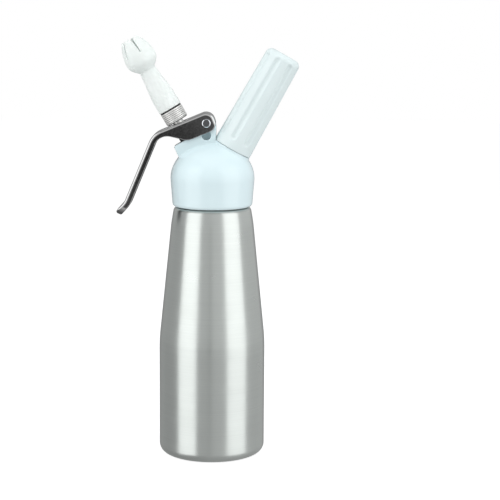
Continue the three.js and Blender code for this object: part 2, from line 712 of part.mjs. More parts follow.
// One wedge through the whole tulip cuts two opposite slots
function tulipSlotPair(turn) {
  const root = nozzleTip - TULIP_SLOT_DEPTH;
  const outline = rounded([
    [-TULIP_SLOT_ROOT / 2, root, TULIP_SLOT_ROOT / 2],
    [TULIP_SLOT_ROOT / 2, root, TULIP_SLOT_ROOT / 2],
    [TULIP_SLOT_MOUTH / 2, nozzleTip],
    [TULIP_SLOT_MOUTH / 2, nozzleTip + OVERRUN],
    [-TULIP_SLOT_MOUTH / 2, nozzleTip + OVERRUN],
    [-TULIP_SLOT_MOUTH / 2, nozzleTip],
  ]);
  return plate(outline, TULIP_RADIUS + OVERRUN, 0, new THREE.Matrix4().makeRotationZ(turn));
}

function tulipNozzle() {
  const socketRadius = SPIGOT_RADIUS + FIT;
  const socketTop = nozzleFoot + NOZZLE_SOCKET_DEPTH;
  const outside = tulipProfile();
  const rise = nozzleTip - socketTop;
  const inside = outside.slice(1).map(({ x, y }) => new THREE.Vector2(
    x - THREE.MathUtils.lerp(NOZZLE_WALL, NOZZLE_MOUTH_WALL, Math.max(0, (y - socketTop) / rise)),
    y,
  ));
  const profile = [
    new THREE.Vector2(socketRadius, nozzleFoot),
    new THREE.Vector2(NOZZLE_BASE_RADIUS, nozzleFoot),
    ...outside,
    ...inside.reverse(),
    new THREE.Vector2(inside.at(-1).x, socketTop),
    new THREE.Vector2(socketRadius, socketTop),
    new THREE.Vector2(socketRadius, nozzleFoot),
  ];
  const pairs = [];
  for (let k = 0; k < TULIP_SLOTS / 2; k += 1) {
    pairs.push(tulipSlotPair(TULIP_SLOT_TURN + (2 * Math.PI * k) / TULIP_SLOTS));
  }
  return named('tulip_nozzle', cut(turned(profile), ...pairs), whitePlastic);
}

// Point of the handle, in lever coordinates: down the handle from its corner, and out from its face
function onHandle(down, out, radius) {
  return [
    -LEVER_REACH - down * Math.cos(LEVER_BEND) - out * Math.sin(LEVER_BEND),
    LEVER_TOP - down * Math.sin(LEVER_BEND) + out * Math.cos(LEVER_BEND),
    radius,
  ];
}

// Corners of the lever's outer face, from its end wall round to the tip, moved in by `inset`
function leverSpine(inset) {
  const end = LEVER_END - inset;
  const tipDown = HANDLE_LENGTH + TIP_LENGTH * Math.cos(TIP_FLARE) - inset;
  const tipOut = TIP_LENGTH * Math.sin(TIP_FLARE) - inset;
  return [
    [end, LEVER_TOP - inset, end],
    [-LEVER_REACH + inset * Math.tan(LEVER_BEND / 2), LEVER_TOP - inset, BEND_ROUND - inset],
    onHandle(HANDLE_LENGTH, -inset, TIP_FLARE_ROUND),
    onHandle(tipDown, tipOut, HANDLE_DEPTH / 2 - inset),
  ];
}

// Side view of the finished lever, with its trimmed cheeks
function leverOutline() {
  const bottom = LEVER_TOP - CHEEK_DEPTH;
  const tipDown = HANDLE_LENGTH + TIP_LENGTH * Math.cos(TIP_FLARE);
  const tipOut = TIP_LENGTH * Math.sin(TIP_FLARE);
  const tipRound = HANDLE_DEPTH / 2;
  const [innerX, innerZ] = onHandle(0, -HANDLE_DEPTH);
  const spread = innerX + CHEEK_LENGTH;
  const drop = innerZ - bottom;
  const run = (drop - spread * Math.tan(LEVER_BEND))
    / (Math.tan(THROAT_ANGLE) + Math.tan(LEVER_BEND));
  return rounded([
    [LEVER_END, bottom, LEVER_END],
    ...leverSpine(0),
    onHandle(
      tipDown + HANDLE_DEPTH * Math.sin(TIP_FLARE),
      tipOut - HANDLE_DEPTH * Math.cos(TIP_FLARE),
      tipRound,
    ),
    onHandle(HANDLE_LENGTH + HANDLE_DEPTH * Math.tan(TIP_FLARE / 2), -HANDLE_DEPTH, TIP_FLARE_ROUND),
    [-CHEEK_LENGTH - run, bottom + run * Math.tan(THROAT_ANGLE), THROAT_ROUND],
    [-CHEEK_LENGTH, bottom, CHEEK_ROUND],
  ]);
}

// Folded blank before its cheeks are trimmed: outside with inset 0, inside with the sheet's inset
function leverBlank(inset) {
  const bottom = LEVER_TOP - CHEEK_DEPTH - SHEET_MARGIN;
  const spine = leverSpine(inset);
  const [tipX, tipZ] = spine.at(-1);
  const past = HANDLE_DEPTH + SHEET_MARGIN;
  const angle = LEVER_BEND - TIP_FLARE;
  const outline = rounded([
    [spine[0][0], bottom],
    ...spine,
    [tipX + past * Math.sin(angle), tipZ - past * Math.cos(angle)],
    onHandle(HANDLE_LENGTH, -past),
    onHandle(CHEEK_DEPTH + SHEET_MARGIN, -past),
    [-CHEEK_LENGTH, bottom],
  ]);
  const folded = plate(outline, LEVER_HALF_WIDTH - inset, LEVER_EDGE_ROUND - inset);
  return folded.intersect(tipPlan(inset));
}

// Block that rounds the handle's tip seen from outside
function tipPlan(inset) {
  const half = LEVER_HALF_WIDTH - inset;
  const start = LEVER_REACH + CHEEK_DEPTH + SHEET_MARGIN;
  const end = -HANDLE_LENGTH - TIP_LENGTH + inset;
  const corner = TIP_PLAN_ROUND - inset;
  const outline = rounded([[start, -half], [start, half], [end, half, corner], [end, -half, corner]]);
  const lying = new THREE.Matrix4().makeTranslation(-LEVER_REACH, 0, LEVER_TOP)
    .multiply(new THREE.Matrix4().makeRotationY(-LEVER_BEND))
    .multiply(new THREE.Matrix4().makeRotationX(-Math.PI / 2));
  return plate(outline, LEVER_REACH + CHEEK_DEPTH, 0, lying);
}

function lever() {
  const slotHalf = STEM_RADIUS + STEM_SLOT_CLEARANCE;
  const slotEnds = [stemCrossing(0), stemCrossing(LEVER_SWING)];
  const slotWall = LEVER_TOP + OVERRUN;
  const slotFloor = LEVER_TOP - LEVER_SHEET - OVERRUN;
  const slotBars = slotEnds.map((along) => rod(
    slotHalf,
    slotFloor,
    slotWall,
    new THREE.Matrix4().makeTranslation(along, 0, 0),
  ));
  const slotMiddle = plate(rounded([
    [slotEnds[0], slotFloor], [slotEnds[1], slotFloor], [slotEnds[1], slotWall],
    [slotEnds[0], slotWall],
  ]), slotHalf, 0);
  const endRoom = plate(rounded([
    [0, LEVER_TOP - CHEEK_DEPTH - OVERRUN],
    [CHEEK_DEPTH, LEVER_TOP - CHEEK_DEPTH - OVERRUN],
    [CHEEK_DEPTH, -END_WALL_DROP],
    [0, -END_WALL_DROP],
  ]), leverInside, 0);
  const pinHole = rod(
    PIN_RADIUS + FIT,
    -LEVER_HALF_WIDTH - OVERRUN,
    LEVER_HALF_WIDTH + OVERRUN,
    new THREE.Matrix4().makeRotationX(Math.PI / 2),
  );
  const trimmed = leverBlank(0).intersect(plate(leverOutline(), LEVER_HALF_WIDTH + OVERRUN, 0));
  const channel = cut(trimmed, leverBlank(LEVER_SHEET), endRoom, pinHole, slotMiddle, ...slotBars);
  return named('lever', channel, polishedSteel);
}

function leverPin() {
  const headFoot = -pinInset - PIN_HEAD_THICKNESS;
  const grooveRadius = PIN_RADIUS - CLIP_GROOVE_DEPTH;
  const grooveEnd = pinInset + CLIP_THICKNESS + FIT;
  const tail = grooveEnd + PIN_TAIL;
  const pin = turned(rounded([
    [0, headFoot],
    [PIN_FLAT_RADIUS, headFoot],
    [PIN_HEAD_RADIUS, headFoot + PIN_HEAD_CHAMFER],
    [PIN_HEAD_RADIUS, -pinInset],
    [PIN_RADIUS, -pinInset],
    [PIN_RADIUS, pinInset - FIT],
    [grooveRadius, pinInset - FIT],
    [grooveRadius, grooveEnd],
    [PIN_RADIUS, grooveEnd],
    [PIN_RADIUS, tail],
    [0, tail],
  ]), new THREE.Matrix4().makeRotationX(-Math.PI / 2));
  return named('lever_pin', pin, polishedSteel);
}

// Open retaining ring in the groove behind the far cheek
function pinClip() {
  const bore = PIN_RADIUS - CLIP_GROOVE_DEPTH + FIT;
  const from = CLIP_MOUTH / 2;
  const to = 2 * Math.PI - CLIP_MOUTH / 2;
  const shape = new THREE.Shape();
  shape.absarc(0, 0, CLIP_RADIUS, from, to, false);
  shape.absarc(0, 0, bore, to, from, true);
  const middle = new THREE.Matrix4().makeTranslation(0, pinInset + CLIP_THICKNESS / 2, 0);
  return named('pin_clip', plate(shape.getPoints(LEAST_FACETS / 2), CLIP_THICKNESS / 2, 0, middle),
    springSteel);
}

function intakeBody() {
  const shankRadius = INTAKE_BORE_RADIUS - FIT;
  const body = turned(rounded([
    [0, noseFoot],
    [INLET_NOSE_RADIUS, noseFoot],
    [INLET_NOSE_RADIUS, shankFoot],
    [shankRadius, shankFoot],
    [shankRadius, inletTop],
    [0, inletTop],
  ]));
  const acrossNose = new THREE.Matrix4().makeTranslation(0, 0, portOnNose)
    .multiply(new THREE.Matrix4().makeRotationX(Math.PI / 2));
  const past = INLET_NOSE_RADIUS + OVERRUN;
  const inlet = cut(
    body,
    rod(INLET_BORE, noseFoot + INLET_END_WALL, inletTop + OVERRUN),
    rod(NEEDLE_BASE_RADIUS + FIT, needleSeat, inletTop + OVERRUN),
    rod(INLET_PORT_RADIUS, -past, past, acrossNose),
  );
  return named('intake_body', inlet, brass);
}

// Rubber sleeve over the inlet's cross port: gas lifts it, cream presses it shut
function checkValveSleeve() {
  const inner = INLET_NOSE_RADIUS + O_RING_SQUEEZE_GAP;
  const outer = inner + SLEEVE_THICKNESS;
  const foot = portOnNose - SLEEVE_LENGTH / 2;
  const top = foot + SLEEVE_LENGTH;
  const ring = turnedRing([[inner, foot], [outer, foot], [outer, top], [inner, top]]);
  return named('check_valve_sleeve', ring, blackRubber);
}

function piercingPin() {
  const baseFoot = needleSeat + FIT;
  const tip = chargerFoot + NEEDLE_REACH;
  const needle = turnedRing([
    [NEEDLE_BORE, baseFoot],
    [NEEDLE_BASE_RADIUS, baseFoot],
    [NEEDLE_BASE_RADIUS, inletTop - FIT],
    [NEEDLE_RADIUS, inletTop - FIT],
    [NEEDLE_RADIUS, tip - NEEDLE_POINT],
    [NEEDLE_BORE + (NEEDLE_RADIUS - NEEDLE_BORE) / 3, tip],
    [NEEDLE_BORE, tip],
  ]);
  return named('piercing_pin', needle, polishedSteel);
}

function chargerSeal() {
  const inner = NEEDLE_RADIUS + 2 * FIT;
  const outer = INTAKE_CUP_RADIUS - FIT;
  const foot = cupFloor + FIT;
  const ring = turnedRing([[inner, foot], [outer, foot], [outer, sealTop], [inner, sealTop]]);
  return named('charger_seal', ring, blackRubber);
}

// Pierced steel bulb: a hollow shell with its neck down on the seal
function gasCharger() {
  const neckTopAt = chargerFoot + CHARGER_NECK_LENGTH;
  const bodyFoot = neckTopAt + CHARGER_SHOULDER;
  const end = chargerFoot + CHARGER_LENGTH;
  const innerRadius = CHARGER_RADIUS - CHARGER_WALL;
  const neckBore = CHARGER_NECK_RADIUS - CHARGER_WALL;
  const bulb = turnedRing([
    [CHARGER_HOLE_RADIUS, chargerFoot],
    [CHARGER_NECK_RADIUS, chargerFoot, CHARGER_NECK_ROUND],
    [CHARGER_NECK_RADIUS, neckTopAt, CHARGER_NECK_ROUND],
    [CHARGER_RADIUS, bodyFoot, CHARGER_SHOULDER_ROUND],
    [CHARGER_RADIUS, end, CHARGER_RADIUS],
    [0, end],
    [0, end - CHARGER_WALL],
    [innerRadius, end - CHARGER_WALL, innerRadius],
    [innerRadius, bodyFoot, CHARGER_SHOULDER_ROUND],
    [neckBore, neckTopAt],
    [neckBore, chargerFoot + CHARGER_WALL],
    [CHARGER_HOLE_RADIUS, chargerFoot + CHARGER_WALL],
  ]);
  return named('gas_charger', bulb, galvanizedSteel);
}

// Sunk flute: a bar with round ends that lies along the holder's tapered side
function flute(turn) {
  const foot = holderFoot + FLUTE_FROM_BASE;
  const top = holderTop - FLUTE_FROM_TOP;
  const taper = Math.atan2(HOLDER_BASE_RADIUS - HOLDER_TOP_RADIUS, HOLDER_LENGTH);
  const sideRadius = THREE.MathUtils.lerp(
    HOLDER_BASE_RADIUS,
    HOLDER_TOP_RADIUS,
    FLUTE_FROM_BASE / HOLDER_LENGTH,
  );
  const bar = rounded([
    [0, 0], [FLUTE_RADIUS, 0, FLUTE_RADIUS],
    [FLUTE_RADIUS, top - foot, FLUTE_RADIUS], [0, top - foot],
  ]);
  const place = new THREE.Matrix4().makeRotationZ(turn)
    .multiply(new THREE.Matrix4().makeTranslation(
      sideRadius + FLUTE_RADIUS - FLUTE_DEPTH,
      0,
      foot,
    ))
    .multiply(new THREE.Matrix4().makeRotationY(-taper));
  return turned(bar, place);
}

function chargerHolder() {
  const socketRadius = INTAKE_STUD_RADIUS + FIT;
  const bore = CHARGER_RADIUS + CHARGER_CLEARANCE;
  const socketTop = holderFoot + SOCKET_DEPTH;
  const boreTop = chargerFoot + CHARGER_LENGTH + FIT;
  const profile = rounded([
    [HOLDER_BASE_RADIUS, holderFoot],
    [HOLDER_TOP_RADIUS, holderTop, HOLDER_TOP_ROUND],
    [0, holderTop],
    [0, boreTop],
    [bore, boreTop, bore / 2],
    [bore, socketTop + socketRadius - bore],
    [socketRadius, socketTop],
    [socketRadius, holderFoot],
    [HOLDER_BASE_RADIUS, holderFoot],
  ]);
  const flutes = [];
  for (let k = 0; k < FLUTE_COUNT; k += 1) {
    flutes.push(flute((2 * Math.PI * (k + 0.5)) / FLUTE_COUNT));
  }
  return named('charger_holder', cut(turned(profile), ...flutes), iceBluePlastic);
}

nozzleLine.add(
  valveStem(),
  valveSeal(),
  stemORing(),
  springWasher(),
  valveSpring(),
  stemCap(),
  nozzleAdapter(),
  nozzleSeal(),
  tulipNozzle(),
);
chargerLine.add(
  intakeBody(),
  checkValveSleeve(),
  piercingPin(),
  chargerSeal(),
  gasCharger(),
  chargerHolder(),
);
leverFrame.add(lever());
pinFrame.add(leverPin(), pinClip());

const dispenser = new THREE.Group();
dispenser.add(bottle(), headGasket(), headShell(), nozzleLine, chargerLine, leverFrame, pinFrame);

export default dispenser;
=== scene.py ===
"""Whipped cream dispenser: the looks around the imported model.

Lengths are in millimetres until a mesh is made, and each piece is built in the frame of the axis that
it is turned or pressed on. Round pieces are lathed. The cast head, the folded lever, the tulip nozzle
and the fluted holder are distance fields: a field says how far a point lies from the surface, fields
are joined and cut with rounded edges, and a grid wraps the surface that is left.
"""

import json
import math

import bpy
import numpy as np
from mathutils import Matrix, Vector


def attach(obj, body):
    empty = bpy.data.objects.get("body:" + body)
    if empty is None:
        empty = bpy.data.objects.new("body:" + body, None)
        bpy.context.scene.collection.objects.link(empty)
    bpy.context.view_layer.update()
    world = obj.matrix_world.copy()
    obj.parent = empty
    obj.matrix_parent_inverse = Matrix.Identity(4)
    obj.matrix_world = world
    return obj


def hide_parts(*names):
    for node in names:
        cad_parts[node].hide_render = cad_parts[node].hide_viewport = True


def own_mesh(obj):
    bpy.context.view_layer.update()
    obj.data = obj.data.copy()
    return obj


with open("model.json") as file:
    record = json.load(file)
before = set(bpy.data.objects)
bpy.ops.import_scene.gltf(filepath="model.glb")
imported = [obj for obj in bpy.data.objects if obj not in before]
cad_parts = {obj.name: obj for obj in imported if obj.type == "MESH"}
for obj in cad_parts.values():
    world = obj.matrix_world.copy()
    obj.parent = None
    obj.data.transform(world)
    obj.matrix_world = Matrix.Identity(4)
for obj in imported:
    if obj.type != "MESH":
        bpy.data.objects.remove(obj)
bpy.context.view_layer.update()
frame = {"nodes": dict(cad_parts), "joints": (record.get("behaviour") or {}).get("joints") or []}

MM = 0.001

# Mesh fineness
SEGMENTS = 192
ARC_STEP = math.radians(7)
GRID_SCALE = 1.0
SHARP_ANGLE = math.radians(38)
LATHE_STEP = 0.8
CAST_GRID = 0.42
NOZZLE_GRID = 0.34
METAL_GRID = 0.3
CLIP_GRID = 0.16

# Photograph's view
CAMERA_PLACE = (0.0285, -1.122, 0.3257)
CAMERA_PITCH = math.radians(81.4)
CAMERA_ROLL = math.radians(0.38)
CAMERA_LENS = 108
CAMERA_SENSOR = 36

# Studio: grey of the surroundings by the three parts of a direction
WORLD_BY_SIDE = [(-1, 0.59), (-0.5, 0.68), (0, 0.86), (0.6, 0.87), (1, 0.84)]
WORLD_BY_DEPTH = [(-1, 0.97), (-0.85, 0.93), (-0.4, 0.95), (0.8, 0.9), (0.93, 0.5), (1, 0.42)]
WORLD_BY_HEIGHT = [
    (-1, 0.45), (-0.5, 0.5), (-0.3, 0.58), (-0.15, 0.63), (0.02, 0.76), (0.07, 0.9),
    (0.25, 0.78), (0.6, 0.6), (1, 0.45),
]
LENS_SIDE = (-0.06, -0.994, -0.09)
WORLD_BY_LENS_SIDE = [(0.9918, 1), (0.9972, 0.03)]

# Studio lights, metres and watts: azimuth from the photograph's side, elevation, distance, width,
# height, power, and whether reflections show them
LIGHT_TARGET = (0, 0, 0.16)
SOFTBOXES = {
    "left_softbox": (-54.5, 7, 1.3, 1.08, 2.0, 6.9, True),
    "right_softbox": (57, 7, 1.3, 1.15, 2.0, 6.0, True),
    "top_softbox": (5, 72, 1.2, 1.0, 1.0, 8.5, False),
    "left_fill": (-88, 5, 1.3, 1.0, 1.5, 6.6, False),
    "right_fill": (88, 5, 1.3, 1.0, 1.5, 4.8, False),
    "table_bounce": (0, -60, 0.7, 1.2, 1.2, 2.8, False),
}

FLOOR_HALF = 4.0
FLOOR_DROP = 0.0002
FLOOR_GLOW = 0.8


# Places of the working axes, read from the joints

joints = {joint["name"]: joint for joint in frame["joints"]}


def tilted_place(point, direction):
    """Frame at a point whose z axis points along a direction in the x-z plane and whose y axis is +Y."""
    z = Vector(direction).normalized()
    y = Vector((0, 1, 0))
    x = y.cross(z)
    turn = Matrix((x, y, z)).transposed().to_4x4()
    return Matrix.Translation(Vector(point)) @ turn


UPRIGHT = Matrix.Identity(4)
NOZZLE = tilted_place(joints["nozzle_unscrew"]["pos_m"], joints["nozzle_unscrew"]["axis"])
CHARGER = tilted_place(joints["holder_unscrew"]["pos_m"], joints["holder_unscrew"]["axis"])
PIN = Matrix.Translation(Vector(joints["lever_squeeze"]["pos_m"]))
LEVER_TILT = math.radians(22.7)
LEVER = PIN @ Matrix.Rotation(-LEVER_TILT, 4, "Y")
ACROSS = PIN @ Matrix.Rotation(-math.pi / 2, 4, "X")


def span(node, place):
    """Lowest and highest corner of a node in the frame of a place, in millimetres."""
    inverse = place.inverted()
    points = np.array([inverse @ v.co for v in frame["nodes"][node].data.vertices]) / MM
    return points.min(0), points.max(0)


# Outlines

def rounded(corners):
    """Outline through corner points (x, y, fillet radius), with each fillet cut into chords."""
    points = []
    count = len(corners)
    for i, corner in enumerate(corners):
        here = Vector(corner[:2])
        radius = corner[2] if len(corner) > 2 else 0
        if radius <= 0:
            points.append(here)
            continue
        before = (Vector(corners[i - 1][:2]) - here).normalized()
        after = (Vector(corners[(i + 1) % count][:2]) - here).normalized()
        half = math.acos(max(-1, min(1, before.dot(after)))) / 2
        centre = here + (before + after).normalized() * (radius / math.sin(half))
        start = here + before * (radius / math.tan(half))
        cross = before.x * after.y - before.y * after.x
        sweep = -math.copysign(math.pi - 2 * half, cross)
        steps = max(2, math.ceil(abs(sweep) / ARC_STEP))
        for k in range(steps + 1):
            arm = start - centre
            arm.rotate(Matrix.Rotation(sweep * k / steps, 2))
            points.append(centre + arm)
    return [(p.x, p.y) for p in points]


def divided(points, step):
    """The same open outline with points added, so that no chord is longer than the step."""
    fine = [points[0]]
    for (ax, ay), (bx, by) in zip(points, points[1:]):
        parts = max(1, math.ceil(math.hypot(bx - ax, by - ay) / step))
        for k in range(1, parts + 1):
            fine.append((ax + (bx - ax) * k / parts, ay + (by - ay) * k / parts))
    return fine


# Meshes

def add_piece(mesh, place, material, slot, body, node):
    """Object at a place that wears a material, rides on a body and stands for a CAD node."""
    mesh.shade_smooth()
    mesh.set_sharp_from_angle(angle=SHARP_ANGLE)
    mesh.materials.append(material)
    piece = bpy.data.objects.new(mesh.name, mesh)
    bpy.context.scene.collection.objects.link(piece)
    piece.matrix_world = place
    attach(piece, body)
    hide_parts(node)


def mesh_of(name, vertices, faces):
    """Mesh from points in millimetres."""
    mesh = bpy.data.meshes.new(name)
    mesh.from_pydata((np.asarray(vertices) * MM).tolist(), [], faces)
    mesh.validate()
    return mesh


def lathed(name, profile, ridge=None, step=LATHE_STEP):
    """Mesh of an outline (radius, height) turned about z. It ends on the axis or closes on itself.
    A ridge gives a change of radius from the radius, height and angle of a point."""
    on_axis = profile[0][0] == 0
    points = divided(profile if on_axis else [*profile, profile[0]], step)
    if not on_axis:
        points = points[:-1]
    angles = np.arange(SEGMENTS) * 2 * math.pi / SEGMENTS
    vertices, rings = [], []
    for radius, height in points:
        if radius < 1e-6:
            rings.append([len(vertices)] * SEGMENTS)
            vertices.append((0, 0, height))
            continue
        reach = radius + (ridge(radius, height, angles) if ridge else np.zeros(SEGMENTS))
        first = len(vertices)
        rings.append(list(range(first, first + SEGMENTS)))
        vertices.extend(zip(reach * np.cos(angles), reach * np.sin(angles), [height] * SEGMENTS))
    pairs = list(zip(rings, rings[1:]))
    if not on_axis:
        pairs.append((rings[-1], rings[0]))
    faces = []
    for low, high in pairs:
        for k in range(SEGMENTS):
            n = (k + 1) % SEGMENTS
            corners = [low[k], low[n], high[n], high[k]]
            face = [c for i, c in enumerate(corners) if c != corners[i - 1]]
            if len(face) > 2:
                faces.append(face)
    return mesh_of(name, vertices, faces)


def thread_wave(rise, pitch, angle):
    """Share of a rounded thread's depth, 1 on its crest."""
    turns = rise / pitch - angle / (2 * math.pi)
    return (0.5 + 0.5 * np.cos(2 * math.pi * turns)) ** 2


def thread(pitch, depth, low, high, wall):
    """Ridge function of a rounded screw thread between two heights on one cylindrical wall."""

    def ridge(radius, height, angles):
        if abs(radius - wall) > 1e-3 or not low <= height <= high:
            return np.zeros(len(angles))
        fade = min(1, (height - low) / pitch, (high - height) / pitch)
        return depth * fade * thread_wave(height - low, pitch, angles)

    return ridge


# Distance fields: each takes x, y, z arrays in millimetres and is negative inside

def outline_field(corners):
    """Signed distance to a closed flat outline."""
    ends = np.asarray(corners, float)
    starts = np.roll(ends, 1, axis=0)
    lengths = np.hypot(*(ends - starts).T)
    sides = [(a, b) for a, b, length in zip(starts, ends, lengths) if length > 1e-6]

    def field(x, y):
        nearest = np.full(x.shape, np.inf)
        inside = np.zeros(x.shape, bool)
        for (ax, ay), (bx, by) in sides:
            ex, ey = bx - ax, by - ay
            wx, wy = x - ax, y - ay
            along = np.clip((wx * ex + wy * ey) / (ex * ex + ey * ey), 0, 1)
            nearest = np.minimum(nearest, (wx - along * ex) ** 2 + (wy - along * ey) ** 2)
            if ey != 0:
                crosses = ((ay > y) != (by > y)) & (x < ex * (y - ay) / ey + ax)
                inside ^= crosses
        return np.where(inside, -1.0, 1.0) * np.sqrt(nearest)

    return field


def turned_field(profile):
    """Solid of revolution about z from an outline (radius, height) that starts on the axis."""
    mirror = [(-x, y) for x, y in reversed(profile)]
    flat = outline_field([*profile, *mirror])
    return lambda x, y, z: flat(np.hypot(x, y), z)


def square_edge(side, end):
    """Distance to the right-angled edge of two faces."""
    return np.minimum(np.maximum(side, end), 0) + np.hypot(np.maximum(side, 0), np.maximum(end, 0))


def bar_field(radius, low, high):
    """Round bar about z."""
    middle, half = (low + high) / 2, (high - low) / 2
    return lambda x, y, z: square_edge(np.hypot(x, y) - radius, np.abs(z - middle) - half)


def plate_field(corners, half, edge=0.0):
    """Outline in the x-z plane with thickness along y and rounded long edges."""
    flat = outline_field(corners)
    return lambda x, y, z: square_edge(flat(x, z) + edge, np.abs(y) - half + edge) - edge


def capsule_field(start, end, radius):
    """Round rod with ball ends between two points."""
    start, end = np.asarray(start, float), np.asarray(end, float)
    arm = end - start

    def field(x, y, z):
        wx, wy, wz = x - start[0], y - start[1], z - start[2]
        along = np.clip((wx * arm[0] + wy * arm[1] + wz * arm[2]) / arm.dot(arm), 0, 1)
        dx, dy, dz = wx - along * arm[0], wy - along * arm[1], wz - along * arm[2]
        return np.sqrt(dx * dx + dy * dy + dz * dz) - radius

    return field


def placed(field, place):
    """A field of the frame of a place, read in the piece's own frame."""
    inverse = np.array(place.inverted())
    turn, shift = inverse[:3, :3], inverse[:3, 3] / MM

    def moved(x, y, z):
        return field(*(turn[i, 0] * x + turn[i, 1] * y + turn[i, 2] * z + shift[i] for i in range(3)))

    return moved


def join(first, second, fillet):
    """Union whose inner corner has a round fillet."""

    def field(x, y, z):
        a, b = first(x, y, z), second(x, y, z)
        corner = np.hypot(np.maximum(fillet - a, 0), np.maximum(fillet - b, 0))
        return np.maximum(fillet, np.minimum(a, b)) - corner

    return field


def common(first, second, edge):
    """Intersection whose outer edge is rounded."""

    def field(x, y, z):
        a, b = first(x, y, z), second(x, y, z)
        corner = np.hypot(np.maximum(edge + a, 0), np.maximum(edge + b, 0))
        return np.minimum(-edge, np.maximum(a, b)) + corner

    return field


def cut(body, tool, edge):
    """Body without the tool, with a rounded rim round the cut."""
    return common(body, lambda x, y, z: -tool(x, y, z), edge)


def sampled(field, axes, step):
    """Field on a grid. Far from the surface it is read on a grid four times as coarse."""
    coarse = 4
    shape = [len(a) for a in axes]
    rough_axes = [a[::coarse] for a in axes]
    rough = field(*(g.ravel() for g in np.meshgrid(*rough_axes, indexing="ij")))
    rough = rough.reshape([len(a) for a in rough_axes])
    picks = [np.minimum((np.arange(n) + coarse // 2) // coarse, len(r) - 1)
             for n, r in zip(shape, rough_axes)]
    values = rough[np.ix_(*picks)]
    near = np.abs(values) < coarse * step
    i, j, k = np.nonzero(near)
    values[near] = field(axes[0][i], axes[1][j], axes[2][k])
    return values


def wrapped(name, field, low, high, step):
    """Mesh of the surface where a field is zero: one point in each grid cell that the surface
    crosses, joined into quads and moved onto the surface along the field's slope."""
    step = step * GRID_SCALE
    axes = [np.arange(a - 2.5 * step, b + 3.5 * step, step) for a, b in zip(low, high)]
    values = sampled(field, axes, step)
    inside = values < 0
    cells = tuple(n - 1 for n in values.shape)
    total = np.zeros((*cells, 3))
    count = np.zeros(cells)
    offsets = [(i, j, k) for i in (0, 1) for j in (0, 1) for k in (0, 1)]

    def corner(array, at):
        return array[tuple(slice(o, o + n) for o, n in zip(at, cells))]

    for at in offsets:
        for axis in range(3):
            if at[axis]:
                continue
            end = tuple(o + (a == axis) for a, o in enumerate(at))
            crosses = corner(inside, at) != corner(inside, end)
            va, vb = corner(values, at)[crosses], corner(values, end)[crosses]
            point = np.array(at, float) + np.zeros((len(va), 3))
            point[:, axis] += va / (va - vb)
            total[crosses] += point
            count[crosses] += 1
    used = count > 0
    index = np.full(cells, -1)
    index[used] = np.arange(used.sum())
    base = np.argwhere(used)
    points = base + total[used] / count[used][:, None]
    points = np.stack([axes[a][0] + points[:, a] * step for a in range(3)], 1)

    faces = []
    for axis in range(3):
        b, c = (axis + 1) % 3, (axis + 2) % 3
        first = [slice(None)] * 3
        second = [slice(None)] * 3
        first[axis], second[axis] = slice(0, -1), slice(1, None)
        start, end = inside[tuple(first)], inside[tuple(second)]
        edges = np.argwhere(start != end)
        edges = edges[(edges[:, b] > 0) & (edges[:, c] > 0)]
        leaving = start[tuple(edges.T)]
        around = []
        for db, dc in ((1, 1), (0, 1), (0, 0), (1, 0)):
            cell = edges.copy()
            cell[:, b] -= db
            cell[:, c] -= dc
            around.append(index[tuple(cell.T)])
        quads = np.stack(around, 1)
        quads[~leaving] = quads[~leaving][:, ::-1]
        faces.append(quads)
    faces = np.concatenate(faces)

    probe = 0.02
    limit = 0.6 * step
    for _ in range(3):
        here = field(*points.T)
        slope = np.stack([field(*(points + probe * side).T) - field(*(points - probe * side).T)
                          for side in np.eye(3)], 1) / (2 * probe)
        size = np.maximum((slope**2).sum(1), 0.2)
        move = -(here / size)[:, None] * slope
        reach = np.maximum(np.linalg.norm(move, axis=1), 1e-9)
        points = points + move * np.minimum(1, limit / reach)[:, None]

    return mesh_of(name, points, faces.tolist())


# Materials

NOISE_RANGE = (0.3, 0.7)
# Painted shade on the inner faces of the lever's cheeks: share of the colour left there
CHEEK_SHADE = 0.25
# Painted shade on the lever's undersides: share of the colour left there
UNDERSIDE_SHADE = 0.3


def set_inputs(node, values):
    """Inputs by name or number: a socket is linked to its input, anything else becomes its value."""
    for key, value in values.items():
        if isinstance(value, bpy.types.NodeSocket):
            node.id_data.links.new(value, node.inputs[key])
        else:
            node.inputs[key].default_value = value


def add_node(tree, kind, values, operation=None):
    node = tree.nodes.new(kind)
    if operation:
        node.operation = operation
    set_inputs(node, values)
    return node


def new_material(name):
    """Principled material, its shader and its node tree."""
    material = bpy.data.materials.new(name)
    material.use_nodes = True
    return material, material.node_tree.nodes["Principled BSDF"], material.node_tree


def coordinates(tree, kind="Object"):
    return tree.nodes.new("ShaderNodeTexCoord").outputs[kind]


def component(tree, vector, axis):
    return add_node(tree, "ShaderNodeSeparateXYZ", {"Vector": vector}).outputs[axis]


def noise(tree, scales, detail=3.0, rough=0.55):
    """Noise over the object's own coordinates, stretched by one scale for each axis."""
    mapping = add_node(tree, "ShaderNodeMapping", {"Vector": coordinates(tree), "Scale": scales})
    texture = add_node(tree, "ShaderNodeTexNoise", {
        "Vector": mapping.outputs["Vector"], "Scale": 1.0, "Detail": detail, "Roughness": rough,
    })
    return texture.outputs["Fac"]


def ranged(tree, source, start, end, low, high):
    """Value that goes from low to high while the source goes from start to end."""
    node = add_node(tree, "ShaderNodeMapRange", {
        "Value": source, "From Min": start, "From Max": end, "To Min": low, "To Max": high,
    })
    return node.outputs["Result"]


def graded(tree, source, stops):
    """Colour by stops, each a position from 0 to 1 and a colour."""
    node = add_node(tree, "ShaderNodeValToRGB", {"Fac": source})
    elements = node.color_ramp.elements
    while len(elements) < len(stops):
        elements.new(0.5)
    for element, (position, colour) in zip(elements, stops):
        element.position = position
        element.color = (*colour, 1)
    return node.outputs["Color"]


def tint(tree, source, dark, light):
    """Colour between dark and light, from a noise."""
    return graded(tree, source, list(zip(NOISE_RANGE, (dark, light))))


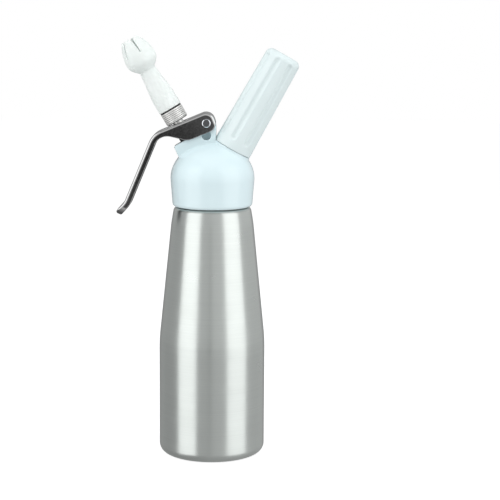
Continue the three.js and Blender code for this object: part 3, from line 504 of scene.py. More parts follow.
def bump(tree, source, strength, depth):
    """Normal bent by a noise of a depth in millimetres."""
    values = {"Height": source, "Strength": strength, "Distance": depth * MM}
    return add_node(tree, "ShaderNodeBump", values).outputs["Normal"]


def radial_tangent(tree):
    """Direction round the piece's z axis."""
    node = tree.nodes.new("ShaderNodeTangent")
    node.direction_type = "RADIAL"
    node.axis = "Z"
    return node.outputs["Tangent"]


def by_radius(tree, inner, outer, low, high):
    """Value that goes from low to high as the distance from the piece's z axis grows."""
    flat = add_node(tree, "ShaderNodeVectorMath", {0: coordinates(tree), 1: (1, 1, 0)}, "MULTIPLY")
    reach = add_node(tree, "ShaderNodeVectorMath", {0: flat.outputs["Vector"]}, "LENGTH")
    return ranged(tree, reach.outputs["Value"], inner * MM, outer * MM, low, high)


def painted_shade_inside_cheeks(tree, low):
    """Painted shade: value that is low on the inner faces of two walls across y and one elsewhere."""
    side = component(tree, coordinates(tree), "Y")
    facing = component(tree, coordinates(tree, "Normal"), "Y")
    product = add_node(tree, "ShaderNodeMath", {0: side, 1: facing}, "MULTIPLY")
    return ranged(tree, product.outputs["Value"], -4 * MM, 0, low, 1)


def painted_shade_underneath(tree, low):
    """Painted shade: value that is low on faces turned down in the piece's frame and one elsewhere."""
    return ranged(tree, component(tree, coordinates(tree, "Normal"), "Z"), -0.5, -0.15, low, 1)


def darken(tree, factor):
    """Scales the base colour by a factor."""
    shader = tree.nodes["Principled BSDF"]
    colour = shader.inputs["Base Color"].links[0].from_socket
    node = add_node(tree, "ShaderNodeVectorMath", {0: colour, "Scale": factor}, "SCALE")
    set_inputs(shader, {"Base Color": node.outputs["Vector"]})


def brushed_metal(name, dark, light, rough, anisotropy, lines_per_mm, depth):
    """Metal with fine lines round the z axis of its piece."""
    material, shader, tree = new_material(name)
    lines = noise(tree, (12, 12, lines_per_mm / MM), rough=0.7)
    clouds = noise(tree, (25, 25, 60), detail=2.0)
    set_inputs(shader, {
        "Metallic": 1.0,
        "Anisotropic": anisotropy,
        "Anisotropic Rotation": 0.25,
        "Tangent": radial_tangent(tree),
        "Base Color": tint(tree, lines, dark, light),
        "Roughness": ranged(tree, clouds, *NOISE_RANGE, rough * 0.9, rough * 1.12),
        "Normal": bump(tree, lines, 0.25, depth),
    })
    return material


def polished_metal(name, dark, light, rough):
    """Polished sheet with faint polishing marks."""
    material, shader, tree = new_material(name)
    marks = noise(tree, (700, 90, 700), detail=4.0)
    clouds = noise(tree, (60, 60, 60))
    set_inputs(shader, {
        "Metallic": 1.0,
        "Base Color": tint(tree, clouds, dark, light),
        "Roughness": ranged(tree, marks, *NOISE_RANGE, rough * 0.7, rough * 1.4),
        "Normal": bump(tree, marks, 0.03, 0.02),
    })
    return material


def clouded(name, dark, light, rough, cloud_scale, grain_scale, relief, extra):
    """Smooth coloured surface: soft clouds in its colour, a fine grain in its gloss."""
    material, shader, tree = new_material(name)
    clouds = noise(tree, (cloud_scale,) * 3)
    grain = noise(tree, (grain_scale,) * 3, detail=2.0)
    set_inputs(shader, {
        **extra,
        "Base Color": tint(tree, clouds, dark, light),
        "Roughness": ranged(tree, grain, *NOISE_RANGE, rough * 0.9, rough * 1.1),
        "Normal": bump(tree, grain, relief, 0.02),
    })
    return material


def enamel(name, dark, light, rough, coat, peel):
    """Sprayed or moulded coloured surface with a faint orange peel."""
    gloss = {"Coat Weight": coat, "Coat Roughness": 0.05, "Coat IOR": 1.6}
    return clouded(name, dark, light, rough, 40, 900, peel, gloss)


def milky_plastic(name, dark, light, rough, glow):
    """White plastic that lets a little light through."""
    depths = (5 * MM, 5.3 * MM, 5.2 * MM)
    body = {"Subsurface Weight": glow, "Subsurface Radius": depths, "Subsurface Scale": 1.0}
    return clouded(name, dark, light, rough, 70, 1200, 0.05, body)


def matt(name, dark, light, rough, grain_size):
    """Rubber, silicone or plain moulded plastic."""
    material, shader, tree = new_material(name)
    grain = noise(tree, (1 / (grain_size * MM),) * 3)
    set_inputs(shader, {
        "Base Color": tint(tree, grain, dark, light),
        "Roughness": ranged(tree, grain, *NOISE_RANGE, rough * 0.9, rough * 1.1),
        "Normal": bump(tree, grain, 0.15, 0.03),
    })
    return material


# Colours are the dark and light end of each surface

aluminium = brushed_metal("brushed_aluminium", (0.655, 0.69, 0.67), (0.71, 0.75, 0.725),
                          rough=0.3, anisotropy=0.6, lines_per_mm=4.0, depth=0.012)
turned = brushed_metal("turned_metal", (0.78, 0.78, 0.765), (0.87, 0.87, 0.855),
                       rough=0.32, anisotropy=0.3, lines_per_mm=5.0, depth=0.02)
brass = brushed_metal("turned_brass", (0.52, 0.38, 0.15), (0.72, 0.56, 0.26),
                      rough=0.25, anisotropy=0.4, lines_per_mm=5.0, depth=0.02)
chrome = polished_metal("polished_steel", (0.66, 0.66, 0.66), (0.74, 0.74, 0.74), rough=0.07)
# Painted shade in the lever's colour, darker on the inner faces of its cheeks
darken(chrome.node_tree, painted_shade_inside_cheeks(chrome.node_tree, CHEEK_SHADE))
# Painted shade in the lever's colour, darker on faces turned down
darken(chrome.node_tree, painted_shade_underneath(chrome.node_tree, UNDERSIDE_SHADE))
spring_steel = polished_metal("spring_steel", (0.36, 0.37, 0.38), (0.48, 0.49, 0.50), rough=0.3)
galvanized = polished_metal("galvanized_steel", (0.42, 0.43, 0.43), (0.58, 0.59, 0.59), rough=0.4)
head_enamel = enamel("head_enamel", (0.635, 0.77, 0.805), (0.655, 0.79, 0.825),
                     rough=0.34, coat=0.6, peel=0.03)
holder_enamel = enamel("holder_plastic", (0.66, 0.75, 0.757), (0.687, 0.776, 0.785),
                       rough=0.42, coat=0.1, peel=0.05)
nozzle_white = milky_plastic("nozzle_plastic", (0.79, 0.867, 0.84), (0.82, 0.897, 0.87),
                             rough=0.42, glow=0.6)
black_plastic = matt("black_plastic", (0.012, 0.012, 0.013), (0.025, 0.025, 0.026),
                     rough=0.45, grain_size=0.4)
black_rubber = matt("black_rubber", (0.010, 0.010, 0.010), (0.022, 0.022, 0.022),
                    rough=0.75, grain_size=0.3)
silicone = matt("grey_silicone", (0.52, 0.55, 0.54), (0.62, 0.65, 0.64), rough=0.6, grain_size=0.5)


# Bottle

BOTTLE_RADIUS = 40
BOTTLE_WALL = 1.5
BOTTLE_FLOOR = 2.2
BOTTLE_STRAIGHT = 88
CONE_BLEND = 120
BASE_CORNER = 7
BASE_GROOVE_IN = 20
BASE_GROOVE_OUT = 24
BASE_GROOVE_DEPTH = 0.8
BASE_GROOVE_ROUND = 0.6
SHOULDER_HEIGHT = 189.15
SHOULDER_RADIUS = 28.85
SHOULDER_ROUND = 3.4
SHOULDER_BEND_HEIGHT = 177
SHOULDER_BEND_RADIUS = 30.9
SHOULDER_BEND = 60
NECK_RADIUS = 25.8
NECK_LIP = 0.6
NECK_THREAD_PITCH = 3.0
NECK_THREAD_DEPTH = 0.8


def bottle_mesh(low, high):
    neck_top = high[2]
    neck_bore = NECK_RADIUS - BOTTLE_WALL
    profile = rounded([
        (0, 0),
        (BASE_GROOVE_IN, 0, BASE_GROOVE_ROUND),
        (BASE_GROOVE_IN + BASE_GROOVE_DEPTH, BASE_GROOVE_DEPTH, BASE_GROOVE_ROUND),
        (BASE_GROOVE_OUT - BASE_GROOVE_DEPTH, BASE_GROOVE_DEPTH, BASE_GROOVE_ROUND),
        (BASE_GROOVE_OUT, 0, BASE_GROOVE_ROUND),
        (BOTTLE_RADIUS, 0, BASE_CORNER),
        (BOTTLE_RADIUS, BOTTLE_STRAIGHT, CONE_BLEND),
        (SHOULDER_BEND_RADIUS, SHOULDER_BEND_HEIGHT, SHOULDER_BEND),
        (SHOULDER_RADIUS, SHOULDER_HEIGHT, SHOULDER_ROUND),
        (NECK_RADIUS, SHOULDER_HEIGHT),
        (NECK_RADIUS, neck_top, NECK_LIP),
        (neck_bore, neck_top, NECK_LIP),
        (neck_bore, SHOULDER_HEIGHT - BOTTLE_WALL, BOTTLE_WALL),
        (SHOULDER_RADIUS - BOTTLE_WALL, SHOULDER_HEIGHT - BOTTLE_WALL, SHOULDER_ROUND - BOTTLE_WALL),
        (SHOULDER_BEND_RADIUS - BOTTLE_WALL, SHOULDER_BEND_HEIGHT, SHOULDER_BEND),
        (BOTTLE_RADIUS - BOTTLE_WALL, BOTTLE_STRAIGHT, CONE_BLEND),
        (BOTTLE_RADIUS - BOTTLE_WALL, BOTTLE_FLOOR, BASE_CORNER - BOTTLE_WALL),
        (0, BOTTLE_FLOOR),
    ])
    ridge = thread(NECK_THREAD_PITCH, NECK_THREAD_DEPTH, SHOULDER_HEIGHT + 2, neck_top - 1, NECK_RADIUS)
    return lathed("bottle_skin", profile, ridge)


# Head casting

HEAD_RADIUS = 31.45
HEAD_RIM_RADIUS = 29.9
HEAD_RIM_ROUND = 2.6
HEAD_RIM_DROP = 0.45
HEAD_BELT = 21.15
DOME_RISE = 26.8
DOME_STEPS = 48
SKIRT_BORE = 27.0
SKIRT_DEPTH = 18.45
RECESS_BORE = 19.5
RECESS_DEPTH = 3.5
CAST_FILLET = 1.0
CAST_EDGE = 0.45
BORE_EDGE = 0.2
SEAT_EDGE = 0.15
STUD_FILLET = 0.3
OVERRUN = 5
PIN_HOLE = 2.7
PIN_HOLE_HALF = 12
PIN_HOLE_EDGE = 0.3
BLOCK_HALF = 7.7
BLOCK_EDGE = 1.1
BOSS_TOP = 36.6
BOSS_HALF_LENGTH = 11.7
BOSS_DRAFT = math.radians(6)
BOSS_DEPTH = 20
EAR_RADIUS = 5.2
EAR_BACK_X = 2.6
EAR_BACK_DROPS = (0.3, 1.6)
EAR_FOOT_ROUND = 2.2
HOLE_DROP = 9.1
HOLE_RADIUS = 3.55
HOLE_DEPTH = 5.6
HOLE_EDGE = 0.35
SPRING_ROOM = 6.3
SPRING_ROOM_FLOOR = 20.5
STEM_BORE = 4.3
SEAT_POCKET = 8
SEAT_HEIGHT = 12
HOLDER_SEAT = 30.1
HOLDER_ROOM = 80
HOLDER_BASE = 14.9
HOLDER_RELIEF = 0.6
STUD_RADIUS = 11.6
STUD_FOOT = 5
STUD_LENGTH = 13.9
STUD_CUP = 5.5
STUD_CUP_DEPTH = 4
STUD_PITCH = 2.5
STUD_THREAD_DEPTH = 0.7
INTAKE_BORE = 4.9


def dome_profile(rim):
    """Half section of the skirt and the elliptical dome."""
    belt = rim + HEAD_BELT
    lean = math.atan2((HEAD_RADIUS - HEAD_RIM_RADIUS) * DOME_RISE, HEAD_BELT * HEAD_RADIUS)
    skirt = rounded([(0, rim), (HEAD_RIM_RADIUS, rim, HEAD_RIM_ROUND), (HEAD_RADIUS, belt)])[:-1]
    dome = []
    for k in range(DOME_STEPS + 1):
        angle = -lean + (math.pi / 2 + lean) * k / DOME_STEPS
        dome.append((HEAD_RADIUS * math.cos(angle), belt + DOME_RISE * math.sin(angle)))
    return [*skirt, *dome[:-1], (0, belt + DOME_RISE)]


def block_outline(rim):
    """Side view of the valve boss and its ear, upright frame."""

    def on_line(across, height, radius=0.0):
        point = NOZZLE @ (Vector((across, 0, height)) * MM) / MM
        return point.x, point.z, radius

    pin = NOZZLE.inverted() @ PIN.translation / MM
    pin_x, pin_z = PIN.translation.x / MM, PIN.translation.z / MM
    ear_top = pin.z + EAR_RADIUS
    ear_front = pin.x - EAR_RADIUS
    ear_back = pin_x + EAR_RADIUS
    tilt = math.atan2(-NOZZLE.col[2][0], NOZZLE.col[2][2])
    crest = (ear_back + ear_top * math.sin(tilt)) / math.cos(tilt)
    foot = BOSS_TOP - BOSS_DEPTH
    return rounded([
        on_line(-BOSS_HALF_LENGTH - BOSS_DEPTH * math.tan(BOSS_DRAFT), foot),
        on_line(-BOSS_HALF_LENGTH, BOSS_TOP, 1.0),
        on_line(ear_front, BOSS_TOP, EAR_FOOT_ROUND),
        on_line(ear_front, ear_top, EAR_RADIUS),
        on_line(crest, ear_top, EAR_RADIUS),
        (ear_back, pin_z - EAR_BACK_DROPS[0]),
        (EAR_BACK_X, pin_z - EAR_BACK_DROPS[1]),
        (EAR_BACK_X, rim + HEAD_BELT),
    ])


def threaded_stud(low, high):
    """Round stud about z whose side carries a rounded thread."""
    plain = bar_field(STUD_RADIUS, low, high)

    def field(x, y, z):
        fade = np.clip((z - HOLDER_SEAT - 1.5) / 2, 0, 1) * np.clip((high - z) / 2, 0, 1)
        return plain(x, y, z) + STUD_THREAD_DEPTH * fade * thread_wave(z, STUD_PITCH, np.arctan2(y, x))

    return field


def head_mesh(low, high):
    rim = low[2] - HEAD_RIM_DROP
    stud_top = HOLDER_SEAT + STUD_LENGTH

    def nozzle_bar(radius, start, end):
        return placed(bar_field(radius, start, end), NOZZLE)

    def charger_bar(radius, start, end):
        return placed(bar_field(radius, start, end), CHARGER)

    body = turned_field(dome_profile(rim))
    body = join(body, charger_bar(HOLDER_BASE, 0, HOLDER_SEAT), CAST_FILLET)
    body = join(body, plate_field(block_outline(rim), BLOCK_HALF, BLOCK_EDGE), CAST_FILLET)
    above_seat = charger_bar(HOLDER_BASE + HOLDER_RELIEF, HOLDER_SEAT, HOLDER_SEAT + HOLDER_ROOM)
    body = cut(body, above_seat, SEAT_EDGE)
    body = join(body, placed(threaded_stud(STUD_FOOT, stud_top), CHARGER), STUD_FILLET)
    body = cut(body, charger_bar(STUD_CUP, stud_top - STUD_CUP_DEPTH, stud_top + OVERRUN), CAST_EDGE)
    body = cut(body, charger_bar(INTAKE_BORE, STUD_FOOT, stud_top), BORE_EDGE)
    body = cut(body, bar_field(SKIRT_BORE, rim - OVERRUN, rim + SKIRT_DEPTH), CAST_EDGE)
    body = cut(body, bar_field(RECESS_BORE, rim, rim + SKIRT_DEPTH + RECESS_DEPTH), CAST_EDGE)
    body = cut(body, nozzle_bar(SEAT_POCKET, 0, SEAT_HEIGHT), BORE_EDGE)
    body = cut(body, nozzle_bar(STEM_BORE, 0, BOSS_TOP), BORE_EDGE)
    body = cut(body, nozzle_bar(SPRING_ROOM, SPRING_ROOM_FLOOR, BOSS_TOP + OVERRUN), CAST_EDGE)
    hole_place = ACROSS @ Matrix.Translation(Vector((0, HOLE_DROP, 0)) * MM)
    floor, mouth = BLOCK_HALF - HOLE_DEPTH, BLOCK_HALF + OVERRUN
    for start, end in ((-mouth, -floor), (floor, mouth)):
        body = cut(body, placed(bar_field(HOLE_RADIUS, start, end), hole_place), HOLE_EDGE)
    pin_hole = placed(bar_field(PIN_HOLE, -PIN_HOLE_HALF, PIN_HOLE_HALF), ACROSS)
    body = cut(body, pin_hole, PIN_HOLE_EDGE)
    return wrapped("head_casting", body, low, high, CAST_GRID)


# Valve pieces that show

CAP_BORE = 4.3
CAP_SKIRT_RADIUS = 6.0
CAP_HUB_RADIUS = 6.4
CAP_FLANGE_RADIUS = 7.1
CAP_FLANGE_FOOT = 40.1
CAP_FLANGE_TOP = 42.4
ADAPTER_RADIUS = 8.75
ADAPTER_BORE = 4.3
ADAPTER_CHAMFER = 0.9
ADAPTER_BAND = 9.5
ADAPTER_GROOVES = 6
ADAPTER_GROOVE_DEPTH = 0.42
ADAPTER_GROOVE_SHARE = 0.38
ADAPTER_LAND = 0.25
ADAPTER_STEP = 0.25
# Painted shade: share of the colour left at the bottom of the adapter's grooves
GROOVE_SHADE = 0.25
SPIGOT_RADIUS = 6.0
SPIGOT_PITCH = 1.5
SPIGOT_THREAD_DEPTH = 0.5
SPIGOT_BORE = 3.0
STEM_POCKET_TOP = 2.8
STEM_RADIUS = 4.0
POPPET_RADIUS = 6.6
POPPET_THICKNESS = 2.4
STEM_HOLLOW = 2.3
PORT_RADIUS = 1.1
PORT_RISE = 2.25
PORT_REACH = 6
SEAL_BORE = 6.85
SEAL_STEP = 0.6


def stem_cap_mesh(low, high):
    profile = rounded([
        (CAP_BORE, low[2]),
        (CAP_SKIRT_RADIUS, low[2], 0.4),
        (CAP_SKIRT_RADIUS, CAP_FLANGE_FOOT, 0.4),
        (CAP_FLANGE_RADIUS, CAP_FLANGE_FOOT, 0.5),
        (CAP_FLANGE_RADIUS, CAP_FLANGE_TOP, 0.6),
        (CAP_HUB_RADIUS, CAP_FLANGE_TOP, 0.5),
        (CAP_HUB_RADIUS, high[2], 0.8),
        (CAP_BORE, high[2], 0.2),
    ])
    return lathed("stem_cap_skin", profile)


def grooved_metal():
    """Pale matt-turned metal whose grooves are darker in the colour: painted shade."""
    material = brushed_metal("grooved_metal", (0.81, 0.81, 0.795), (0.84, 0.84, 0.825),
                             rough=0.36, anisotropy=0.3, lines_per_mm=5.0, depth=0.006)
    tree = material.node_tree
    set_inputs(tree.nodes["Principled BSDF"], {"Metallic": 0.6})
    root = ADAPTER_RADIUS - ADAPTER_GROOVE_DEPTH
    # Painted shade in the grooves: the colour darkens below the lands of the knurled band
    darken(tree, by_radius(tree, root, ADAPTER_RADIUS - 0.1, GROOVE_SHADE, 1))
    return material


def adapter_mesh(low, high):
    foot, top = low[2], high[2]
    band_top = foot + ADAPTER_BAND
    groove_foot = foot + ADAPTER_CHAMFER + ADAPTER_LAND
    pitch = (ADAPTER_BAND - ADAPTER_CHAMFER - 2 * ADAPTER_LAND) / ADAPTER_GROOVES
    width = ADAPTER_GROOVE_SHARE * pitch
    band = []
    for k in range(ADAPTER_GROOVES):
        start = groove_foot + k * pitch
        band.append((ADAPTER_RADIUS, start, 0.08))
        band.append((ADAPTER_RADIUS - ADAPTER_GROOVE_DEPTH, start + width / 2, 0.05))
        band.append((ADAPTER_RADIUS, start + width, 0.08))
    profile = rounded([
        (ADAPTER_BORE, foot, 0.3),
        (ADAPTER_RADIUS - ADAPTER_CHAMFER, foot, 0.3),
        (ADAPTER_RADIUS, foot + ADAPTER_CHAMFER, 0.3),
        *band,
        (ADAPTER_RADIUS, band_top, 0.3),
        (SPIGOT_RADIUS, band_top, 0.2),
        (SPIGOT_RADIUS, top, 0.5),
        (SPIGOT_BORE, top, 0.3),
        (SPIGOT_BORE, top - STEM_POCKET_TOP),
        (ADAPTER_BORE, top - STEM_POCKET_TOP),
    ])
    ridge = thread(SPIGOT_PITCH, SPIGOT_THREAD_DEPTH, band_top + 0.8, top - 0.4, SPIGOT_RADIUS)
    return lathed("adapter_skin", profile, ridge, ADAPTER_STEP)


def stem_mesh(low, high):
    port_height = SEAT_HEIGHT + PORT_RISE
    body = bar_field(STEM_RADIUS, low[2], high[2])
    body = join(body, bar_field(POPPET_RADIUS, low[2], low[2] + POPPET_THICKNESS), 0.3)
    body = cut(body, bar_field(STEM_HOLLOW, port_height - PORT_RADIUS, high[2] + OVERRUN), 0.3)
    for turn in (0, math.pi / 2):
        place = (Matrix.Translation(Vector((0, 0, port_height)) * MM)
                 @ Matrix.Rotation(turn, 4, "Z") @ Matrix.Rotation(math.pi / 2, 4, "X"))
        body = cut(body, placed(bar_field(PORT_RADIUS, -PORT_REACH, PORT_REACH), place), 0.2)
    return wrapped("stem_skin", body, low, high, METAL_GRID)


def seal_mesh(low, high):
    """Seal ring that bulges a little past its solid."""
    foot, top, outer = low[2] - 0.2, high[2] + 0.15, high[0] + 0.1
    profile = rounded([
        (SEAL_BORE, foot, 0.1), (outer, foot, 0.25), (outer, top, 0.25), (SEAL_BORE, top, 0.1),
    ])
    return lathed("nozzle_seal_skin", profile, step=SEAL_STEP)


# Tulip nozzle

NOZZLE_BASE_RADIUS = 8.9
NOZZLE_SOCKET_RADIUS = 6.8
NOZZLE_SOCKET_DEPTH = 9.6
NOZZLE_WAIST_RADIUS = 6.45
TULIP_RADIUS = 11.9
NOZZLE_WALL = 1.9
NOZZLE_MOUTH_WALL = 1.2
NOZZLE_INNER_EDGE = 0.45
TULIP_SLOTS = 6
TULIP_SLOT_DEPTH = 12.5
TULIP_SLOT_MOUTH = 1.4
TULIP_SLOT_ROOT = 0.5
TULIP_SLOT_TURN = math.radians(16)
PETAL_ROUND = 1.9
TUBE_LENGTH_SHARES = (0.162, 0.3, 0.42, 0.535)
TUBE_TAPER_SHARES = (1, 0.68, 0.28, 0)
TULIP_LENGTH_SHARES = (0.563, 0.612, 0.66, 0.715, 0.78, 0.85, 0.925, 0.975, 1)
TULIP_SWELL_SHARES = (0.01, 0.54, 0.9, 1, 0.96, 0.78, 0.48, 0.2, 0)


def smooth_curve(points, steps):
    """Catmull-Rom curve through points."""
    ends = [points[0], *points, points[-1]]
    curve = []
    for a, b, c, d in zip(ends, ends[1:], ends[2:], ends[3:]):
        a, b, c, d = (np.array(p) for p in (a, b, c, d))
        for k in range(steps):
            t = k / steps
            curve.append(tuple(0.5 * (2 * b + (c - a) * t + (2 * a - 5 * b + 4 * c - d) * t**2
                                      + (3 * b - a - 3 * c + d) * t**3)))
    curve.append(tuple(points[-1]))
    return curve


def nozzle_mesh(low, high):
    foot, tip = low[2], high[2]
    length = tip - foot
    radii = [NOZZLE_WAIST_RADIUS + share * (NOZZLE_BASE_RADIUS - NOZZLE_WAIST_RADIUS)
             for share in TUBE_TAPER_SHARES]
    radii += [NOZZLE_WAIST_RADIUS + share * (TULIP_RADIUS - NOZZLE_WAIST_RADIUS)
              for share in TULIP_SWELL_SHARES]
    heights = [foot + share * length for share in (*TUBE_LENGTH_SHARES, *TULIP_LENGTH_SHARES)]
    outside = smooth_curve(list(zip(radii, heights)), 5)
    socket = foot + NOZZLE_SOCKET_DEPTH
    inside = []
    for radius, height in outside:
        share = max(0.0, (height - socket) / (tip - socket))
        inside.append((radius - NOZZLE_WALL - share * (NOZZLE_MOUTH_WALL - NOZZLE_WALL), height))
    inside = [p for p in inside if p[1] > socket + 0.5]
    shell = turned_field([(0, foot), (NOZZLE_BASE_RADIUS, foot), *outside, (0, tip)])
    hollow = turned_field([(0, socket), (inside[0][0], socket), *inside,
                           (inside[-1][0], tip + OVERRUN), (0, tip + OVERRUN)])
    body = cut(shell, hollow, NOZZLE_INNER_EDGE)
    body = cut(body, bar_field(NOZZLE_SOCKET_RADIUS, foot - OVERRUN, socket), 0.3)
    root = tip - TULIP_SLOT_DEPTH
    flare = TULIP_SLOT_MOUTH / 2 + PETAL_ROUND
    slot = outline_field(rounded([
        (-TULIP_SLOT_ROOT / 2, root, TULIP_SLOT_ROOT / 2.2),
        (TULIP_SLOT_ROOT / 2, root, TULIP_SLOT_ROOT / 2.2),
        (TULIP_SLOT_MOUTH / 2, tip - PETAL_ROUND, 2 * PETAL_ROUND),
        (flare, tip + 0.2),
        (flare, tip + OVERRUN),
        (-flare, tip + OVERRUN),
        (-flare, tip + 0.2),
        (-TULIP_SLOT_MOUTH / 2, tip - PETAL_ROUND, 2 * PETAL_ROUND),
    ]))

    def slots(x, y, z):
        part = 2 * math.pi / TULIP_SLOTS
        angle = np.arctan2(x, -y) - TULIP_SLOT_TURN
        angle = (angle + part / 2) % part - part / 2
        reach = np.hypot(x, y)
        return np.maximum(slot(reach * np.sin(angle), z), 2 - reach * np.cos(angle))

    body = cut(body, slots, 0.4)
    return wrapped("nozzle_tip", body, low, high, NOZZLE_GRID)


# Charger holder

HOLDER_LENGTH = 79.6
HOLDER_TOP = 13.7
HOLDER_TOP_ROUND = 4.8
HOLDER_SOCKET = 15
HOLDER_BORE = 9.8
HOLDER_END = 3
HOLDER_RIM = 0.4
STUD_GAP = 0.3
HOLDER_SETTLE = 0.12
HOLDER_FOOT_ROUND = 0.12
FLUTE_COUNT = 8
FLUTE_TURN = math.radians(-104)
FLUTE_RADIUS = 2.6
FLUTE_DEPTH = 1.2
FLUTE_EDGE = 0.6
FLUTE_FROM_BASE = 9
FLUTE_FROM_TOP = 6.5


def holder_mesh(low, high):
    foot, top = low[2] - HOLDER_SETTLE, high[2]
    body = turned_field(rounded([
        (0, foot),
        (HOLDER_BASE, foot, HOLDER_FOOT_ROUND),
        (HOLDER_TOP, top, HOLDER_TOP_ROUND),
        (0, top),
    ]))
    for k in range(FLUTE_COUNT):
        angle = FLUTE_TURN + 2 * math.pi * k / FLUTE_COUNT
        ends = []
        for height in (foot + FLUTE_FROM_BASE, top - FLUTE_FROM_TOP):
            side = HOLDER_BASE + (HOLDER_TOP - HOLDER_BASE) * (height - foot) / HOLDER_LENGTH
            reach = side + FLUTE_RADIUS - FLUTE_DEPTH
            ends.append((reach * math.cos(angle), reach * math.sin(angle), height))
        body = cut(body, capsule_field(*ends, FLUTE_RADIUS), FLUTE_EDGE)
    body = cut(body, bar_field(STUD_RADIUS + STUD_GAP, foot - OVERRUN, foot + HOLDER_SOCKET), HOLDER_RIM)
    body = cut(body, bar_field(HOLDER_BORE, foot, top - HOLDER_END), HOLDER_RIM)
    return wrapped("holder_skin", body, low, high, CAST_GRID)


# Lever

SHEET = 1.2
LEVER_HALF = 9.3
LEVER_EDGE = 2.0
LEVER_RIM = 0.28
LEVER_TOP = 8
LEVER_END = 6.8
CHEEK_DEPTH = 14.8
CHEEK_LENGTH = 17.6
CHEEK_ROUND = 10
THROAT_ANGLE = math.radians(35)
THROAT_ROUND = 10
LEVER_REACH = 40.3
LEVER_BEND = math.radians(44.8)
BEND_ROUND = 16
HANDLE_LENGTH = 55
HANDLE_DEPTH = 5
TIP_LENGTH = 10.8
TIP_FLARE = math.radians(19)
TIP_FLARE_ROUND = 12
TIP_PLAN_ROUND = 7
TIP_EDGE = 0.3
SHEET_MARGIN = 4
SLOT_HALF = 4.6
SLOT_ENDS = (-18.95, -17.9)
SLOT_CUT = 4
END_ROOM_TOP = -1
TIP_DOWN = HANDLE_LENGTH + TIP_LENGTH * math.cos(TIP_FLARE)
TIP_OUT = TIP_LENGTH * math.sin(TIP_FLARE)


def on_handle(down, out, radius=0.0):
    """Point of the handle's outer face, from its corner down and outwards."""
    x = -LEVER_REACH - down * math.cos(LEVER_BEND) - out * math.sin(LEVER_BEND)
    z = LEVER_TOP - down * math.sin(LEVER_BEND) + out * math.cos(LEVER_BEND)
    return x, z, radius


def lever_spine(inset):
    """Outer face of the folded sheet from its pivot end to its tip."""
    end = LEVER_END - inset
    return [
        (end, LEVER_TOP - inset, end),
        (-LEVER_REACH + inset * math.tan(LEVER_BEND / 2), LEVER_TOP - inset, BEND_ROUND - inset),
        on_handle(HANDLE_LENGTH, -inset, TIP_FLARE_ROUND),
        on_handle(TIP_DOWN - inset, TIP_OUT - inset, HANDLE_DEPTH / 2 - inset),
    ]


def lever_blank(inset):
    """Folded channel before its cheeks are trimmed, as a field."""
    bottom = LEVER_TOP - CHEEK_DEPTH - SHEET_MARGIN
    spine = lever_spine(inset)
    past = HANDLE_DEPTH + SHEET_MARGIN
    angle = LEVER_BEND - TIP_FLARE
    outline = rounded([
        (spine[0][0], bottom),
        *spine,
        (spine[-1][0] + past * math.sin(angle), spine[-1][1] - past * math.cos(angle)),
        on_handle(HANDLE_LENGTH, -past),
        on_handle(CHEEK_DEPTH + SHEET_MARGIN, -past),
        (-CHEEK_LENGTH, bottom),
    ])
    half = LEVER_HALF - inset
    plan_half = LEVER_REACH + CHEEK_DEPTH
    start = plan_half + SHEET_MARGIN
    end = -HANDLE_LENGTH - TIP_LENGTH + inset
    corner = TIP_PLAN_ROUND - inset
    plan = rounded([(start, -half), (start, half), (end, half, corner), (end, -half, corner)])
    lying = (Matrix.Translation(Vector((-LEVER_REACH, 0, LEVER_TOP)) * MM)
             @ Matrix.Rotation(-LEVER_BEND, 4, "Y") @ Matrix.Rotation(-math.pi / 2, 4, "X"))
    sheet = plate_field(outline, half, LEVER_EDGE - inset)
    return common(sheet, placed(plate_field(plan, plan_half), lying), TIP_EDGE)


def lever_outline():
    """Side view of the trimmed lever."""
    bottom = LEVER_TOP - CHEEK_DEPTH
    inner_x, inner_z, _ = on_handle(0, -HANDLE_DEPTH)
    spread = inner_x + CHEEK_LENGTH
    drop = inner_z - bottom
    run = (drop - spread * math.tan(LEVER_BEND)) / (math.tan(THROAT_ANGLE) + math.tan(LEVER_BEND))
    return rounded([
        (LEVER_END, bottom, LEVER_END),
        *lever_spine(0),
        on_handle(TIP_DOWN + HANDLE_DEPTH * math.sin(TIP_FLARE),
                  TIP_OUT - HANDLE_DEPTH * math.cos(TIP_FLARE), HANDLE_DEPTH / 2),
        on_handle(HANDLE_LENGTH + HANDLE_DEPTH * math.tan(TIP_FLARE / 2), -HANDLE_DEPTH, TIP_FLARE_ROUND),
        (-CHEEK_LENGTH - run, bottom + run * math.tan(THROAT_ANGLE), THROAT_ROUND),
        (-CHEEK_LENGTH, bottom, CHEEK_ROUND),
    ])


def lever_mesh(low, high):
    body = common(lever_blank(0), plate_field(lever_outline(), LEVER_HALF + OVERRUN), LEVER_RIM)
    body = cut(body, lever_blank(SHEET), LEVER_RIM)
    below = LEVER_TOP - CHEEK_DEPTH - OVERRUN
    end_room = plate_field([
        (0, below), (CHEEK_DEPTH, below), (CHEEK_DEPTH, END_ROOM_TOP), (0, END_ROOM_TOP),
    ], LEVER_HALF - SHEET)
    body = cut(body, end_room, LEVER_RIM)
    stretch = SLOT_ENDS[1] - SLOT_ENDS[0]

    def slot(x, y, z):
        along = np.clip(x - SLOT_ENDS[0], 0, stretch)
        side = np.hypot(x - SLOT_ENDS[0] - along, y) - SLOT_HALF
        return np.maximum(side, np.abs(z - LEVER_TOP) - SLOT_CUT)

    body = cut(body, slot, LEVER_RIM)
    pin_hole = bar_field(PIN_HOLE, -PIN_HOLE_HALF, PIN_HOLE_HALF)
    body = cut(body, placed(pin_hole, Matrix.Rotation(math.pi / 2, 4, "X")), LEVER_RIM)
    return wrapped("lever_skin", body, low, high, METAL_GRID)


# Pin and clip

